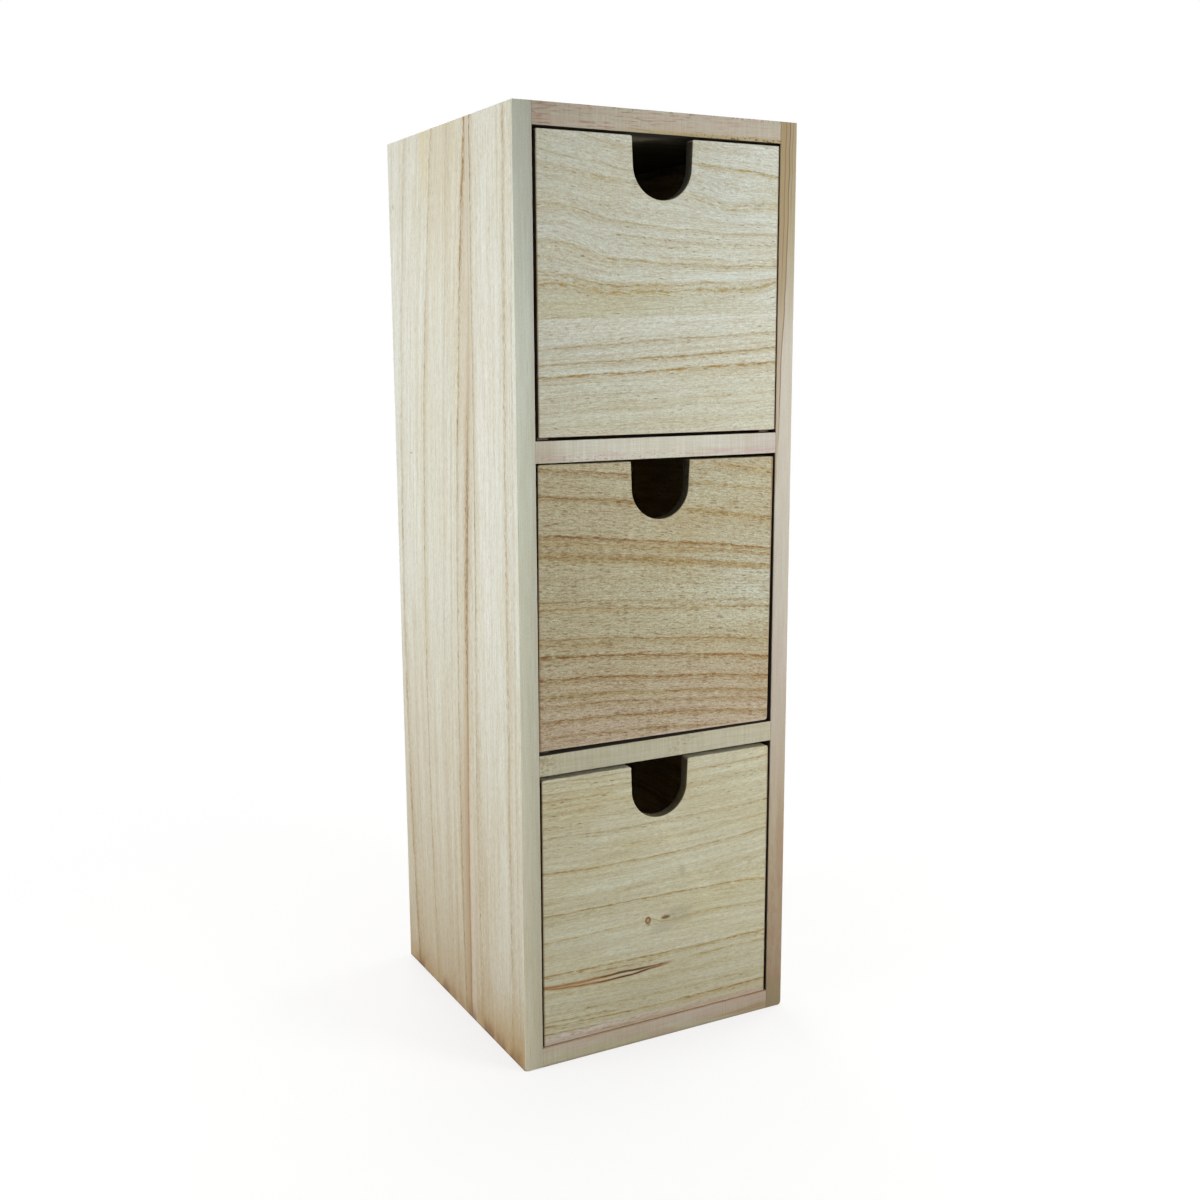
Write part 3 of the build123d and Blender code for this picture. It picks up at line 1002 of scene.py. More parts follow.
def left_side_ground(finish, x, y, z):
    """The left board is whiter along its back and its front, warmer at the top of its middle,
    and browner towards its foot."""
    white = y.rising(26, 44) * 0.45 + y.falling(-40, -22) * 0.35
    yield white * z.rising(120, 210), (226, 226, 214)
    warm = y.hump(4, 34) * z.rising(300, 340)
    yield warm * 0.5, (212, 200, 170)
    zone = y.hump(-33, 9) * z.hump(220, 150)
    yield zone * 0.4, (232, 230, 219)
    front = y.falling(-46, -24) * z.rising(4, 30)
    foot = z.falling(0, 190) * (1 - front * 0.55)
    yield foot * 0.8, (204, 190, 162)
    browned = z.falling(2, 50) * finish.noise(y / 12, z / 20, x / 9, 1)
    yield browned * 0.66, (180, 154, 114)
    glow = z.falling(-3, 15)
    yield glow * 0.55, (182, 144, 86)


def left_side_marks(finish, x, y, z):
    """Broad vein with its hairy dark core, fibrous wood beside its upper end, a yellow band at the top,
    reddish smudges along the foot, and a painted contact shadow as a dark line along its lowest edge."""
    beside = finish.flow - VEIN
    hair = finish.streaks(3.4, 0.5, 2)
    fluff = finish.streaks(7, 0.9, 2)
    fibrous = beside.hump(1, 10.5) * z.rising(225, 330)
    yield fibrous * (0.1 + fluff * 0.6), (206, 190, 166)
    vein = beside.hump(1, 6.5) * z.falling(215, 330)
    yield vein * (0.1 + fluff * 0.75), (190, 164, 128)
    core = beside.hump(0.4, 3.2) * z.hump(195, 110)
    yield core * (hair * 3.4 - 1.1).most(0).least(1) * 0.5, (150, 116, 64)
    distance, chance = finish.cells(z / 2.4, finish.flow / 0.62, x / 4)
    dense = beside.hump(0.5, 2.8) * z.hump(195, 80)
    strokes = distance.falling(0.3, 0.66) * (dense - chance).rising(0, 0.15)
    yield strokes * 0.6, (112, 86, 52)
    behind = beside.rising(-0.8, 0.2) * beside.falling(0.5, 15) * z.falling(70, 150)
    yield behind * 0.6, (180, 152, 116)
    before = beside.falling(-0.9, -0.2) * beside.rising(-6.5, -3) * z.falling(70, 150)
    yield before * 0.36, (228, 216, 202)
    border = abs(beside + 0.5).falling(0.1, 0.8) * z.falling(200, 270)
    yield border * (0.2 + hair * 0.7), (146, 108, 64)

    cloud = finish.noise(y / 8 + 2, z / 16, x / 9, 1)
    ochre = z.falling(0, 34) * y.falling(-60, 6)
    yield ochre * 0.34, (190, 154, 96)
    smudge = z.falling(-1, 9) * cloud.rising(0.38, 0.66)
    yield smudge * 0.66, (120, 74, 54)
    # Painted shadow: a thin dark line where the board meets the floor.
    rim = z.falling(0.2, 0.9)
    yield rim * 0.55, (92, 74, 58)
    band = y.hump(21, 5) * z.rising(325, 350)
    yield band * 0.4, (222, 206, 150)
    fleck = away((y - 43.5) / 2.2, (z - 232.5) / 0.45)
    yield fleck.falling(0.4, 1) * 0.7, (168, 152, 96)
    spot = away((y - 57) / 2.2, (z - 334) / 1.6)
    yield spot.falling(0.3, 1) * 0.3, (160, 128, 84)


def painted_bay_shade(finish, x, y, z):
    """Walls of the three bays, darkened as painted shade: a little all through and most near the front."""
    inside = abs(x).falling(BAY_HALF + 0.1, BAY_HALF + 0.3)
    inside = inside * y.rising(CASE_FRONT + 0.2, CASE_FRONT + 0.5)
    inside = inside * z.rising(0.5, 1) * z.falling(CASE_HEIGHT - 1, CASE_HEIGHT - 0.5)
    mouth = y.falling(-57, -44) * (1 - z.falling(8.1, 8.3))
    # Painted shade inside the bays and in the gaps at their mouths.
    yield inside * (0.24 + mouth * 0.68), (44, 38, 31)


def front_zone(y):
    """1 on the narrow front edge of a case board and 0 behind it."""
    return y.falling(CASE_FRONT + 0.15, CASE_FRONT + 0.6)


def front_edge(hues):
    """Colour of the narrow front edge of a case board, given as stops along the edge."""

    def mark(finish, x, y, z):
        low = finish.grain.middle - finish.grain.half
        high = finish.grain.middle + finish.grain.half
        share = (finish.along - low) / (high - low)
        stops = [(place, srgb(*hue)) for place, hue in hues]
        edge = finish.node("ShaderNodeValToRGB", {"stops": stops}, {0: share})
        hair = finish.noise(finish.along / 17, finish.through / 0.34, y / 3, 3)
        soft = finish.noise(finish.along / 34, finish.through / 2.2, y / 9 + 4, 2)
        specks = finish.noise(x / 0.45, y / 0.45, z / 0.45, 1)
        edge = finish.tone(edge, (hair - 0.5) * 0.42 + (soft - 0.5) * 0.22 + (specks - 0.5) * 0.24)
        threads = hair.rising(0.60, 0.72)
        edge = finish.mix(threads * 0.35, edge, srgb(132, 118, 92))
        yield front_zone(y), edge

    return mark


def sawn_edge(finish, x, y, z):
    """Fine upright saw marks across the front edge of a cross board."""
    near = front_zone(y)
    marks = finish.noise(x / 0.55, z / 12, y / 4, 1)
    broad = finish.noise(x / 3.2, z / 20, y / 9, 1)
    yield ((marks - 0.5) * 0.34 + (broad - 0.5) * 0.08) * near, finish.tone


def left_edge_marks(finish, x, y, z):
    """The left board's front edge is palest at the outer arris and mauve beside the gap."""
    near = front_zone(y)
    yield 1 - (x + 56.3) * near * 0.024, finish.lighten
    rim = x.rising(-54.6, -52.8) * near * z.rising(60, 300)
    yield rim * 0.3, (178, 162, 152)


def right_edge_marks(finish, x, y, z):
    """Brown heartwood that runs out of the right board's front edge, with dark threads."""
    near = front_zone(y)
    stops = ((0, 51.5), (212, 51.8), (238, 53.8), (262, 54.2), (290, 55.6), (330, 56.6), (360, 56.9))
    border = finish.course(z, 0, 360, stops)
    sway = (finish.noise(z / 16, y / 20, x / 20, 1) - 0.5) * 1.4
    beside = x - border - sway
    hair = finish.noise(z / 14, x / 0.5, y / 9, 2)
    heart = beside.falling(-0.5, 0.4) * near
    heart = heart * (1 - z.hump(252, 26) * 0.45 - z.hump(282, 22) * 0.32)
    yield heart * (0.5 + hair * 0.6).least(1), (172, 150, 112)
    first = beside.hump(0, 0.45) * z.rising(228, 258)
    second = (beside + 1.9).hump(0, 0.4) * z.rising(280, 320)
    third = (beside - 1.3).hump(0, 0.35) * z.rising(300, 345)
    threads = first.most(second * 0.7).most(third * 0.6) * near
    yield threads * 0.75, (112, 78, 44)
    mottle = finish.noise(x / 1.6, y / 3, z / 5, 2).rising(0.45, 0.65)
    foot = z.falling(20, 110) * near
    yield foot * mottle * 0.5, (170, 130, 106)
    outer = x.rising(55, 57.5) * z.hump(72, 48) * near
    yield outer * 0.34, (160, 118, 88)
    stub = z.falling(10, 16) * near
    yield stub * 0.5, (150, 140, 104)


def top_edge_marks(finish, x, y, z):
    """Pink and rusty threads along the top board's front edge and a speckled lower arris."""
    near = front_zone(y)
    cloud = finish.noise(x / 18, z / 1.6, y / 5, 2).rising(0.42, 0.62)
    yield cloud * near * 0.22, (200, 164, 152)
    threads = finish.noise(x / 6, z / 0.5, y / 4, 2).rising(0.54, 0.68)
    left = x.falling(-20, 40) * 0.3 + 0.22
    yield threads * left * near, (150, 98, 76)
    arris = z.falling(352.5, 354.2) * near * x.rising(-34, 10)
    yield arris * 0.6, (176, 156, 88)
    specks = finish.noise(x / 1, z / 0.7, y / 4, 1).rising(0.58, 0.66)
    yield specks * arris * x.rising(0, 30) * 0.9, (84, 56, 24)
    rim = z.rising(358.6, 359.6) * near * specks
    yield rim * 0.5, (110, 88, 60)


def upper_shelf_marks(finish, x, y, z):
    """Pink streak low on the front edge of the upper shelf, and its browner left end."""
    near = front_zone(y)
    streak = z.hump(236.4, 1.9) * (x.falling(-30, 0) + x.rising(2, 24))
    cloud = finish.noise(x / 9, z / 0.8, y / 5, 2).rising(0.36, 0.6)
    yield streak * cloud * near * 0.45, (196, 150, 154)
    specks = finish.noise(x / 1.3, z / 0.5, y / 4, 1).rising(0.6, 0.7)
    low = z.falling(236, 239) * x.falling(0, 30)
    yield specks * low * near * 0.5, (150, 104, 72)
    end = x.falling(-50, -36) * near
    yield end * 0.4, (176, 156, 130)


def lower_shelf_marks(finish, x, y, z):
    """Two patches of brown flecks on the front edge of the lower shelf."""
    near = front_zone(y)
    flecks = finish.noise(x / 1.2, z / 0.8, y / 4, 2).rising(0.48, 0.58)
    patch = x.falling(-49, -42) + (x - (z - 121) * 1.6).hump(9, 7) * 0.8
    yield flecks * patch * near * 0.5, (150, 120, 76)


def bottom_board_marks(finish, x, y, z):
    """Faint pink patches on the front edge of the bottom board, which darkens at its foot."""
    near = front_zone(y)
    cloud = finish.noise(x / 13, z / 1.8, y / 5, 2).rising(0.4, 0.64)
    patch = x.hump(4, 60) * cloud * near
    yield patch * 0.5, (192, 158, 146)
    upper = z.rising(3.4, 5.6) * near
    yield upper * 0.3, (198, 166, 156)
    lower = z.falling(2.2, 4.4) * near
    yield lower * 0.3, (188, 174, 126)
    rust = finish.noise(x / 26, z / 0.9, y / 5, 2).rising(0.4, 0.66)
    rust = rust * z.hump(2.6, 2.4) * x.rising(-6, 30) * near
    yield rust * 0.7, (156, 116, 76)
    arris = z.rising(7.5, 7.8) * y.falling(CASE_FRONT + 0.5, CASE_FRONT + 1)
    yield arris * 0.6, (160, 118, 72)
    foot = z.falling(0, 1.2) * near
    yield foot * 0.45, (120, 96, 70)


def painted_wall_foot_shade(low):
    """Lower edges of a drawer's walls near the front, darkened as painted shade of the slit under the
    front.
    """

    def mark(finish, x, y, z):
        slit_shade = (z - low).falling(0.3, 2.4) * y.falling(-54, -46)
        # Painted shade where the wall feet show through the slit under the front.
        yield slit_shade * 0.9, (70, 54, 38)

    return mark


# Pieces


def turned_notch_cutter(flare):
    """Cutter for the finger notch, about the middle of an upright front board."""
    bpy.ops.object.select_all(action="DESELECT")
    bpy.ops.mesh.primitive_circle_add(
        vertices=96,
        radius=NOTCH_HALF * MM,
        fill_type="NGON",
        location=(0, -FRONT_THICKNESS * MM, NOTCH_ARC_HEIGHT * MM),
        rotation=(math.radians(90), 0, 0),
    )
    cutter = bpy.context.active_object
    cutter.name = "notch_cutter"
    set_down(cutter)
    open_mesh(cutter)
    bpy.ops.mesh.select_all(action="SELECT")
    bpy.ops.mesh.bisect(
        plane_co=(0, 0, NOTCH_ARC_HEIGHT * MM), plane_no=(0, 0, 1), clear_outer=True, clear_inner=False
    )
    rise = (FRONT_HEIGHT / 2 + 1 - NOTCH_ARC_HEIGHT) / NOTCH_STEPS
    wider = 1 + flare / (NOTCH_HALF * MM) / NOTCH_STEPS
    for step in range(NOTCH_STEPS):
        level = NOTCH_ARC_HEIGHT + step * rise
        pick(cutter, "EDGE", lambda edge: both_at(edge, 2, level))
        bpy.ops.mesh.extrude_region_move(TRANSFORM_OT_translate={"value": (0, 0, rise * MM)})
        bpy.ops.transform.resize(value=(wider, 1, 1), center_override=(0, 0, level * MM))
    bpy.ops.mesh.select_mode(type="FACE")
    bpy.ops.mesh.select_all(action="SELECT")
    bpy.ops.mesh.extrude_region_move(
        TRANSFORM_OT_translate={"value": (0, 2 * FRONT_THICKNESS * MM, 0)}
    )
    bpy.ops.mesh.select_all(action="SELECT")
    bpy.ops.mesh.normals_make_consistent(inside=False)
    close_mesh()
    return cutter


def round_front_corners(board, rounds):
    """Rounds the four corners of a front and the two lips of its notch."""
    levels = (FRONT_HEIGHT / 2, -FRONT_HEIGHT / 2)
    places = [(side * FRONT_WIDTH / 2, 0.1, level) for level in levels for side in (-1, 1)]
    places += [(side * (NOTCH_HALF + 0.5), 1.5, levels[0]) for side in (-1, 1)]
    for (x, slack, z), radius in zip(places, rounds):

        def corner(edge):
            return runs_along(edge, 1) and both_at(edge, 0, x, slack) and both_at(edge, 2, z, 0.05)

        ease_edges(board, corner, radius * MM, CORNER_SEGMENTS)


def tear_notch_rim(board, shape):
    """Pushes the vertices of the notch's front rim about in the face, as torn fibres stand."""
    open_mesh(board)
    front = -FRONT_THICKNESS / 2

    def on_rim(vertex):
        place = vertex.co / MM
        if place.y > front + 0.01 or place.z > FRONT_HEIGHT / 2 - 0.6:
            return False
        up = min(place.z - NOTCH_ARC_HEIGHT, 0)
        return math.hypot(place.x, up) < NOTCH_HALF + 1.2

    pick(board, "VERT", on_rim)
    bpy.ops.transform.vertex_random(offset=shape.fibre_tear, uniform=0, normal=0, seed=shape.tear_seed)
    bpy.ops.transform.resize(value=(1, 0, 1), center_override=(0, front * MM, 0))
    close_mesh()


def shape_front(drawer, shape):
    """A notched front board with worn corners, in its place in the bay."""
    right, height, turn = FRONT_SEATS[drawer]
    half = (FRONT_WIDTH / 2, FRONT_THICKNESS / 2, FRONT_HEIGHT / 2)
    board = add_block(drawer + "_front_board", [-size for size in half], half)
    cut_away(board, turned_notch_cutter(shape.notch_flare))
    round_front_corners(board, FRONT_ROUNDS[drawer])
    front = -FRONT_THICKNESS / 2
    ease_edges(board, lambda edge: both_at(edge, 1, front) and is_sharp(edge), shape.front_ease)
    ease_edges(board, lambda edge: both_at(edge, 1, -front) and is_sharp(edge), shape.joint_ease, 1)
    tear_notch_rim(board, shape)
    board.location = (right * MM, (FRONT_FACE + FRONT_THICKNESS / 2) * MM, height * MM)
    board.rotation_euler = (0, math.radians(turn), 0)
    set_down(board)
    if drawer == "lower":
        settle_foot(board, drawer)
    cut_housings(board, drawer)
    return board


def settle_foot(board, drawer):
    """Lays the lower edge of a front level, close above the board that it slides on."""
    right, height, turn = FRONT_SEATS[drawer]
    centre = Vector((right, 0, height)) * MM
    upright = Matrix.Rotation(math.radians(-turn), 3, "Y")
    foot = (0.02 - FRONT_HEIGHT / 2) * MM
    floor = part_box("bottom_board")[1].z + FOOT_PLAY * MM
    open_mesh(board)
    pick(board, "VERT", lambda vertex: (upright @ (vertex.co - centre)).z < foot)
    bpy.ops.transform.resize(value=(1, 1, 0), center_override=(0, 0, floor))
    close_mesh()


def cut_housings(board, drawer):
    """Cuts the shallow housings that hold the drawer's walls and bottom."""
    for part in ("left_wall", "right_wall", "bottom"):
        low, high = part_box(f"{drawer}_drawer_{part}")
        start = [value / MM - HOUSING_PLAY for value in low]
        end = [high.x / MM + HOUSING_PLAY, PAST_FRONT, high.z / MM + HOUSING_PLAY]
        cut_away(board, add_block("housing_cutter", start, end))


def split_front(board):
    """Saws the upper front along its glue line into an upper and a lower board."""
    select_only(board)
    bpy.ops.object.duplicate()
    lower = bpy.context.active_object
    slope = math.radians(GLUE_LINE_SLOPE)
    point = (GLUE_LINE_POINT[0] * MM, 0, GLUE_LINE_POINT[1] * MM)
    normal = (-math.sin(slope), 0, math.cos(slope))
    for piece, keep_above in ((board, True), (lower, False)):
        open_mesh(piece)
        bpy.ops.mesh.select_all(action="SELECT")
        bpy.ops.mesh.bisect(
            plane_co=point,
            plane_no=normal,
            use_fill=True,
            clear_inner=keep_above,
            clear_outer=not keep_above,
        )
        close_mesh()
    return board, lower


def wear_foot_corner(board, side, size):
    """Rounds the outer lower front corner of a side board, where it has been knocked."""
    corner = Vector((side, CASE_FRONT, 0)) * MM
    open_mesh(board)
    pick(board, "VERT", lambda vertex: (vertex.co - corner).length < 0.02 * MM)
    bpy.ops.mesh.bevel(offset=size, offset_type="OFFSET", segments=CORNER_SEGMENTS, affect="VERTICES")
    close_mesh()


def shape_case_board(node, name, shape):
    """A case board with eased outer edges and crisp joints."""
    board = working_copy(node, name)
    low, high = (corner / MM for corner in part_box(node))
    outer_x = [x for x in (low.x, high.x) if abs(abs(x) - CASE_HALF) < 0.1]
    outer_z = [z for z in (low.z, high.z) if z < 0.1 or z > CASE_HEIGHT - 0.1]

    def outside(edge):
        at_front = both_at(edge, 1, CASE_FRONT)
        at_back = both_at(edge, 1, CASE_BACK)
        at_side = any(both_at(edge, 0, x) for x in outer_x)
        at_end = any(both_at(edge, 2, z) for z in outer_z)
        return sum((at_front or at_back, at_side, at_end)) >= 2

    def joint(edge):
        return both_at(edge, 1, CASE_FRONT) and is_sharp(edge) and not outside(edge)

    ease_edges(board, joint, shape.joint_ease, 1)
    for side in outer_x:
        wear_foot_corner(board, side, shape.foot_round)
    ease_edges(board, outside, shape.case_ease, 2)
    return board


# Colours up the front edge of each side board, by the share of its height
SIDE_EDGE_HUES = {
    "left_side": (
        (0, (214, 206, 178)),
        (0.2, (209, 204, 178)),
        (0.4, (210, 209, 186)),
        (0.64, (214, 216, 195)),
        (0.76, (217, 221, 203)),
        (0.86, (208, 213, 196)),
        (1, (195, 198, 180)),
    ),
    "right_side": (
        (0, (160, 138, 110)),
        (0.14, (178, 160, 132)),
        (0.24, (188, 174, 149)),
        (0.42, (195, 183, 168)),
        (0.52, (197, 190, 174)),
        (0.76, (205, 198, 182)),
        (0.84, (186, 177, 152)),
        (0.92, (178, 164, 130)),
        (1, (176, 160, 128)),
    ),
}
# For each side board: its ground, what lies under its edge's colour and what lies over it
SIDE_MARKS = {
    "left_side": ((left_side_ground,), left_side_marks, left_edge_marks),
    "right_side": ((), right_edge_marks),
}
SIDE_TEXTURE = {"band": 0.09, "silk": 0.32, "short": 0.36, "sparse": 0.02, "cloud": 0.3, "rosy": 0.08}

# For each cross board: the colours along its front edge, and its own marks
CROSS_EDGES = {
    "top_board": (
        ((0, (181, 168, 149)), (0.35, (197, 191, 169)), (0.6, (196, 187, 167)), (1, (197, 189, 171))),
        top_edge_marks,
    ),
    "upper_shelf": (
        ((0, (212, 209, 191)), (0.5, (215, 211, 193)), (0.7, (214, 211, 194)), (0.9, (204, 196, 182))),
        upper_shelf_marks,
    ),
    "lower_shelf": (
        ((0, (197, 192, 163)), (0.3, (190, 185, 158)), (0.6, (193, 188, 161)), (1, (196, 189, 163))),
        lower_shelf_marks,
    ),
    "bottom_board": (
        ((0, (209, 203, 176)), (0.4, (199, 191, 164)), (0.65, (197, 190, 168)), (1, (179, 159, 132))),
        bottom_board_marks,
    ),
}


class CHEST_OT_case_sides(Operator):
    """Models the two full-height side boards"""

    bl_idname = "chest.case_sides"
    bl_label = "Side boards"

    def execute(self, context):
        shape, colours = context.scene.chest_shape, context.scene.chest_wood
        right_grain = plain_grain("ZYX", -62, 62, 180, 180, 8.2, step=13, bow=8)
        grains = {"left_side": LEFT_SIDE_GRAIN, "right_side": right_grain}
        for node, grain in grains.items():
            board = shape_case_board(node, node + "_board", shape)
            ground, *before, after = SIDE_MARKS[node]
            marks = (*before, front_edge(SIDE_EDGE_HUES[node]), after, painted_bay_shade)
            material = wood(
                node + "_wood", grain, colours.side, colours, ground, marks, colours.tan, **SIDE_TEXTURE
            )
            finish_piece(board, "case", [node], material)
        return {"FINISHED"}


class CHEST_OT_cross_boards(Operator):
    """Models the top board, the two shelves and the bottom board"""

    bl_idname = "chest.cross_boards"
    bl_label = "Top, shelves and bottom"

    def execute(self, context):
        shape, colours = context.scene.chest_shape, context.scene.chest_wood
        for place, (node, (hues, own_marks)) in enumerate(CROSS_EDGES.items()):
            board = shape_case_board(node, node + "_piece", shape)
            grain = plain_grain("XYZ", -62, 62, 0, 60, 2.3 + place, step=11)
            marks = (front_edge(hues), sawn_edge, own_marks, painted_bay_shade)
            material = wood(
                node + "_wood", grain, colours.board, colours, marks=marks, silk=0.35, short=0.35
            )
            finish_piece(board, "case", [node], material)
        return {"FINISHED"}


# For each front: how far its upper edge is spared the dark walls, and the brown of its walls, partly saw
# burn and partly painted shade
FRONT_EDGES = {
    "upper": (0.55, (58, 46, 32)),
    "middle": (0.55, (34, 27, 20)),
    "lower": (0.92, (84, 68, 46)),
}
FRONT_TEXTURES = {
    "upper": {"band": 0.1, "silk": 0.38, "short": 0.6, "sparse": 0.06, "speckle": 1},
    "middle": {
        "band": 0.09,
        "silk": 0.46,
        "short": 0.9,
        "sparse": 0.16,
        "speckle": 1.1,
        "reach": 0.56,
        "threads": 1.1,
    },
    "lower": {"band": 0.12, "silk": 0.32, "short": 0.44, "sparse": 0.03, "speckle": 0.9, "reach": 0.5},
}


class CHEST_OT_drawer_fronts(Operator):
    """Models the three drawer fronts with their finger notches"""

    bl_idname = "chest.drawer_fronts"
    bl_label = "Drawer fronts"

    def execute(self, context):
        shape, colours = context.scene.chest_shape, context.scene.chest_wood
        upper, upper_strip = split_front(shape_front("upper", shape))
        upper.name, upper_strip.name = "upper_front_main_board", "upper_front_lower_board"
        middle = shape_front("middle", shape)
        lower = shape_front("lower", shape)
        rows = (
            (upper, "_top_board", UPPER_TOP_GRAIN, upper_top_ground, ()),
            (upper_strip, "_bottom_board", UPPER_BOTTOM_GRAIN, upper_bottom_ground, (upper_bottom_marks,)),
            (middle, "", MIDDLE_GRAIN, middle_ground, ()),
            (lower, "", LOWER_GRAIN, lower_front_ground, (lower_front_marks,)),
        )
        for board, part, grain, ground, own_marks in rows:
            drawer = board.name.split("_")[0]
            base = getattr(colours, drawer)
            right, height, turn = FRONT_SEATS[drawer]
            edges = sawn_and_shaded_edges(right, height + FRONT_HEIGHT / 2, *FRONT_EDGES[drawer])
            deep = middle_deep if drawer == "middle" else None
            marks = (*own_marks, edges)
            texture = FRONT_TEXTURES[drawer]
            material = wood(board.name + "_wood", grain, base, colours, (ground,), marks, deep, **texture)
            node = f"{drawer}_drawer_front{part}"
            finish_piece(board, drawer + "_drawer", [node], material)
        return {"FINISHED"}


class CHEST_OT_drawer_boxes(Operator):
    """Models the walls and the plywood bottoms behind the fronts"""

    bl_idname = "chest.drawer_boxes"
    bl_label = "Drawer boxes"

    def execute(self, context):
        shape, colours = context.scene.chest_shape, context.scene.chest_wood
        for place, drawer in enumerate(FRONT_SEATS):
            name = drawer + "_drawer"
            low, high = (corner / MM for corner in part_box(name + "_left_wall"))
            wall_grain = plain_grain("YZX", low.z, high.z, 0, 60, 4.1 + place, step=12)
            back_grain = plain_grain("XZY", low.z, high.z, 0, 52, 6.6 + place, step=12)
            foot_shade = painted_wall_foot_shade(low.z)
            wall_wood = wood(name + "_wall_wood", wall_grain, colours.box, colours, marks=(foot_shade,))
            back_wood = wood(name + "_back_wood", back_grain, colours.box, colours)
            walls = {"left_wall": wall_wood, "right_wall": wall_wood, "back_wall": back_wood}
            for part, material in walls.items():
                node = f"{name}_{part}"
                wall = working_copy(node, node + "_board")
                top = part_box(node)[1].z / MM
                ease_edges(wall, lambda edge: both_at(edge, 2, top) and is_sharp(edge), shape.box_ease)
                finish_piece(wall, name, [node], material)
            node = name + "_bottom"
            bottom = working_copy(node, node + "_ply")
            ply = wood(
                node + "_ply",
                plain_grain("XYZ", -60, 60, 0, 52, 9.3 + place, step=17, gold=0.2, brown=0.1),
                colours.ply,
                colours,
            )
            finish_piece(bottom, name, [node], ply)
        return {"FINISHED"}


class CHEST_OT_back_panel(Operator):
    """Models the plywood back of the case"""

    bl_idname = "chest.back_panel"
    bl_label = "Back panel"

    def execute(self, context):
        shape, colours = context.scene.chest_shape, context.scene.chest_wood
        panel = working_copy("back_panel", "back_panel_ply")

        def outline(edge):
            long_enough = edge.calc_length() > SHORTEST_OUTLINE_EDGE * MM
            return both_at(edge, 1, CASE_BACK) and is_sharp(edge) and long_enough

        ease_edges(panel, outline, shape.joint_ease, 1)
        grain = plain_grain("ZXY", -56, 56, 180, 176, 14.2, step=15, bow=9, gold=0.25, brown=0.15)
        ply = wood("back_panel_ply", grain, colours.ply, colours)
        finish_piece(panel, "case", ["back_panel"], ply)
        return {"FINISHED"}


class CHEST_OT_fasteners(Operator):
    """Gives the dowels and the steel pins their finish"""

    bl_idname = "chest.fasteners"
    bl_label = "Dowels and pins"

    def execute(self, context):
        colours = context.scene.chest_wood
        grain = plain_grain("XYZ", -62, 62, 0, 60, 17.5, step=3)
        dowel = wood("dowel_wood", grain, colours.box, colours)
        steel = Finish("pin_steel")
        scratches = steel.noise(steel.x / 0.1, steel.y / 0.1, steel.z / 0.6, 2)
        stain = steel.noise(steel.x / 0.9, steel.y / 0.9, steel.z / 0.9, 2)
        colour = steel.mix(stain.rising(0.45, 0.7) * 0.5, colours.steel, srgb(122, 112, 100))
        steel.shader.inputs["Metallic"].default_value = 1
        metal = steel.done(colour, 0.34 + scratches * 0.2, (scratches - 0.5) * 0.02, 0.4)
        give_finish("case_dowels", dowel)
        for node in ["back_panel_pins"] + [drawer + "_drawer_pins" for drawer in FRONT_SEATS]:
            give_finish(node, metal)
        return {"FINISHED"}


def give_finish(node, material):
    """Puts a material on every slot of a CAD node."""
    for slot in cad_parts[node].material_slots:
        slot.material = material


# Stage

CAMERA_PLACE = (-273.77, -521.70, 275.39)
CAMERA_YAW = 28.280
CAMERA_PITCH = -10.080
CAMERA_ROLL = -0.253
SENSOR_WIDTH = 36

# For each lamp: its place, the point that it faces, its size and the setting of its power
LAMPS = {
    "left_lamp": ((-580, 15, 285), (-60, 0, 235), 300, "left_power"),
    "front_lamp": ((300, -480, 265), (30, -60, 220), 200, "front_power"),
    "top_lamp": ((0, 60, 1300), (0, 0, 0), 700, "top_power"),
    "right_lamp": ((860, 260, 420), (60, 0, 200), 420, "far_power"),
    "back_lamp": ((160, 900, 420), (0, 60, 200), 420, "far_power"),
}
FLOOR_RADIUS = 6000


def add_lamp(name, place, aim, size, power):
    """A square soft lamp at a place, turned to a point, both in millimetres."""
    bpy.ops.object.select_all(action="DESELECT")
    bpy.ops.object.light_add(type="AREA", location=[value * MM for value in place])
    lamp = bpy.context.active_object
    lamp.name = name
    lamp.data.shape = "SQUARE"
    lamp.data.size = size * MM
    lamp.data.energy = power
    lamp.visible_camera = False
    way = Vector(aim) - Vector(place)
    lamp.rotation_euler = way.to_track_quat("-Z", "Y").to_euler()


def add_camera(lens):
    """The camera at the photograph's place, turned as it was."""
    bpy.ops.object.select_all(action="DESELECT")
    bpy.ops.object.camera_add(location=[value * MM for value in CAMERA_PLACE])
    camera = bpy.context.active_object
    yaw, pitch, roll = (math.radians(angle) for angle in (CAMERA_YAW, CAMERA_PITCH, CAMERA_ROLL))
    ahead = Vector((math.sin(yaw) * math.cos(pitch), math.cos(yaw) * math.cos(pitch), math.sin(pitch)))
    level = Vector((math.cos(yaw), -math.sin(yaw), 0))
    up = level.cross(ahead)
    right = level * math.cos(roll) + up * math.sin(roll)
    upright = up * math.cos(roll) - level * math.sin(roll)
    camera.rotation_euler = Matrix((right, upright, -ahead)).transposed().to_euler()
    camera.data.sensor_width = SENSOR_WIDTH
    camera.data.lens = lens
    camera.data.clip_start = 10 * MM
    bpy.context.scene.camera = camera


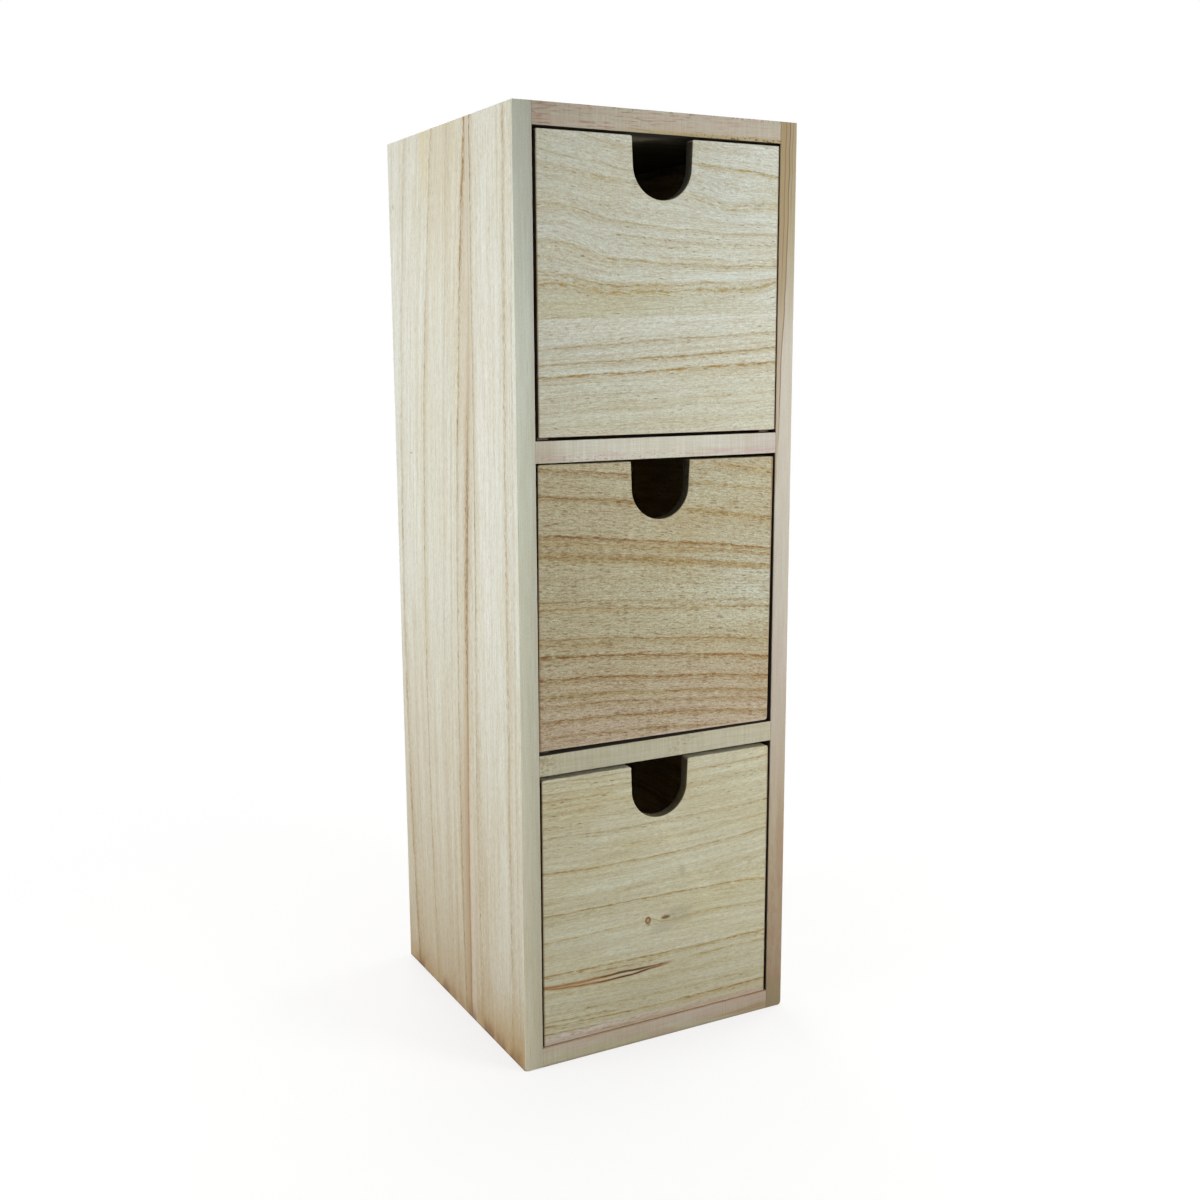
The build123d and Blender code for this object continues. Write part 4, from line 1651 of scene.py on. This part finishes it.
def add_floor(hue):
    """A pale floor that fades to white away from the chest and keeps its shadow. It throws
    less light back than the camera sees on it."""
    bpy.ops.object.select_all(action="DESELECT")
    bpy.ops.mesh.primitive_circle_add(vertices=96, radius=FLOOR_RADIUS * MM, fill_type="NGON")
    floor = bpy.context.active_object
    floor.name = "floor"
    finish = Finish("pale_floor")
    seen = finish.node("ShaderNodeLightPath", output=0)
    cloud = finish.noise(finish.x / 60, finish.y / 60, finish.z / 60, 2)
    colour = finish.lighten(finish.mix(seen, (0.34, 0.34, 0.34), hue), 0.99 + cloud * 0.02)
    material = finish.done(colour, 0.8 + cloud * 0.1, cloud * 0.001, 0.1)
    far = (finish.x**2 + finish.y**2).root().rising(150, 480)
    glow = finish.node("ShaderNodeEmission", {}, {"Color": (1, 1, 1, 1), "Strength": 1})
    shares = {0: (0.72 + far * 0.28) * seen, 1: Strand(finish, finish.shader.outputs[0]), 2: glow}
    mixed = finish.node("ShaderNodeMixShader", {}, shares)
    output = next(node for node in finish.tree.nodes if node.type == "OUTPUT_MATERIAL")
    finish.tree.links.new(mixed.socket, output.inputs[0])
    floor.data.materials.append(material)
    floor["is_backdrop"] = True


def light_world(fill):
    """A fill that is stronger from above, with a white background for what sees it directly."""
    world = bpy.data.worlds.new("studio")
    bpy.context.scene.world = world
    world.use_nodes = True
    draft = Draft(world.node_tree)
    draft.tree.nodes.clear()
    path = draft.node("ShaderNodeLightPath")
    direct = path.other_output("Is Camera Ray") + path.other_output("Is Transmission Ray")
    direct = (direct + path.other_output("Is Glossy Ray") * 0.6).least(1)
    way = draft.node("ShaderNodeTexCoord", output="Generated")
    height = draft.node("ShaderNodeSeparateXYZ", {}, {0: way}, output=2)
    white = (1, 1, 1, 1)
    strength = (0.4 + height.most(0) * 0.6) * fill
    soft = draft.node("ShaderNodeBackground", {}, {"Color": white, "Strength": strength})
    plain = draft.node("ShaderNodeBackground", {}, {"Color": white, "Strength": 1})
    mixed = draft.node("ShaderNodeMixShader", {}, {0: direct, 1: soft, 2: plain})
    draft.node("ShaderNodeOutputWorld", {}, {0: mixed})


class CHEST_OT_stage(Operator):
    """Sets up the floor, the soft lamps and the camera"""

    bl_idname = "chest.stage"
    bl_label = "Floor, lamps and camera"

    def execute(self, context):
        stage = context.scene.chest_stage
        add_floor(stage.floor)
        light_world(stage.fill)
        for name, (place, aim, size, power) in LAMPS.items():
            add_lamp(name, place, aim, size, getattr(stage, power))
        add_camera(stage.lens)
        context.scene.view_settings.view_transform = "Standard"
        return {"FINISHED"}


class CHEST_PT_sidebar(Panel):
    """Lists the steps that build the chest and the settings that they read"""

    bl_idname = "CHEST_PT_sidebar"
    bl_label = "Drawer Chest"
    bl_space_type = "VIEW_3D"
    bl_region_type = "UI"
    bl_category = "Drawer Chest"

    def draw(self, context):
        for step in STEPS:
            self.layout.operator(step.bl_idname)
        for group in (context.scene.chest_shape, context.scene.chest_wood, context.scene.chest_stage):
            box = self.layout.box()
            for name in group.__annotations__:
                box.prop(group, name)


STEPS = (
    CHEST_OT_case_sides,
    CHEST_OT_cross_boards,
    CHEST_OT_drawer_fronts,
    CHEST_OT_drawer_boxes,
    CHEST_OT_back_panel,
    CHEST_OT_fasteners,
    CHEST_OT_stage,
)
GROUPS = {"chest_shape": ChestShape, "chest_wood": ChestWood, "chest_stage": ChestStage}


def register():
    for group in GROUPS.values():
        bpy.utils.register_class(group)
    for step in STEPS:
        bpy.utils.register_class(step)
    bpy.utils.register_class(CHEST_PT_sidebar)
    for name, group in GROUPS.items():
        setattr(bpy.types.Scene, name, PointerProperty(type=group))


def unregister():
    for name in GROUPS:
        delattr(bpy.types.Scene, name)
    bpy.utils.unregister_class(CHEST_PT_sidebar)
    for step in reversed(STEPS):
        bpy.utils.unregister_class(step)
    for group in reversed(GROUPS.values()):
        bpy.utils.unregister_class(group)


def main():
    register()
    bpy.ops.chest.case_sides()
    bpy.ops.chest.cross_boards()
    bpy.ops.chest.drawer_fronts()
    bpy.ops.chest.drawer_boxes()
    bpy.ops.chest.back_panel()
    bpy.ops.chest.fasteners()
    bpy.ops.chest.stage()
    boxes = {"cad": cad_box, "visual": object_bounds()}
    sizes = {name: [list(corner) for corner in box] for name, box in boxes.items()}


if __name__ == "__main__":
    main()
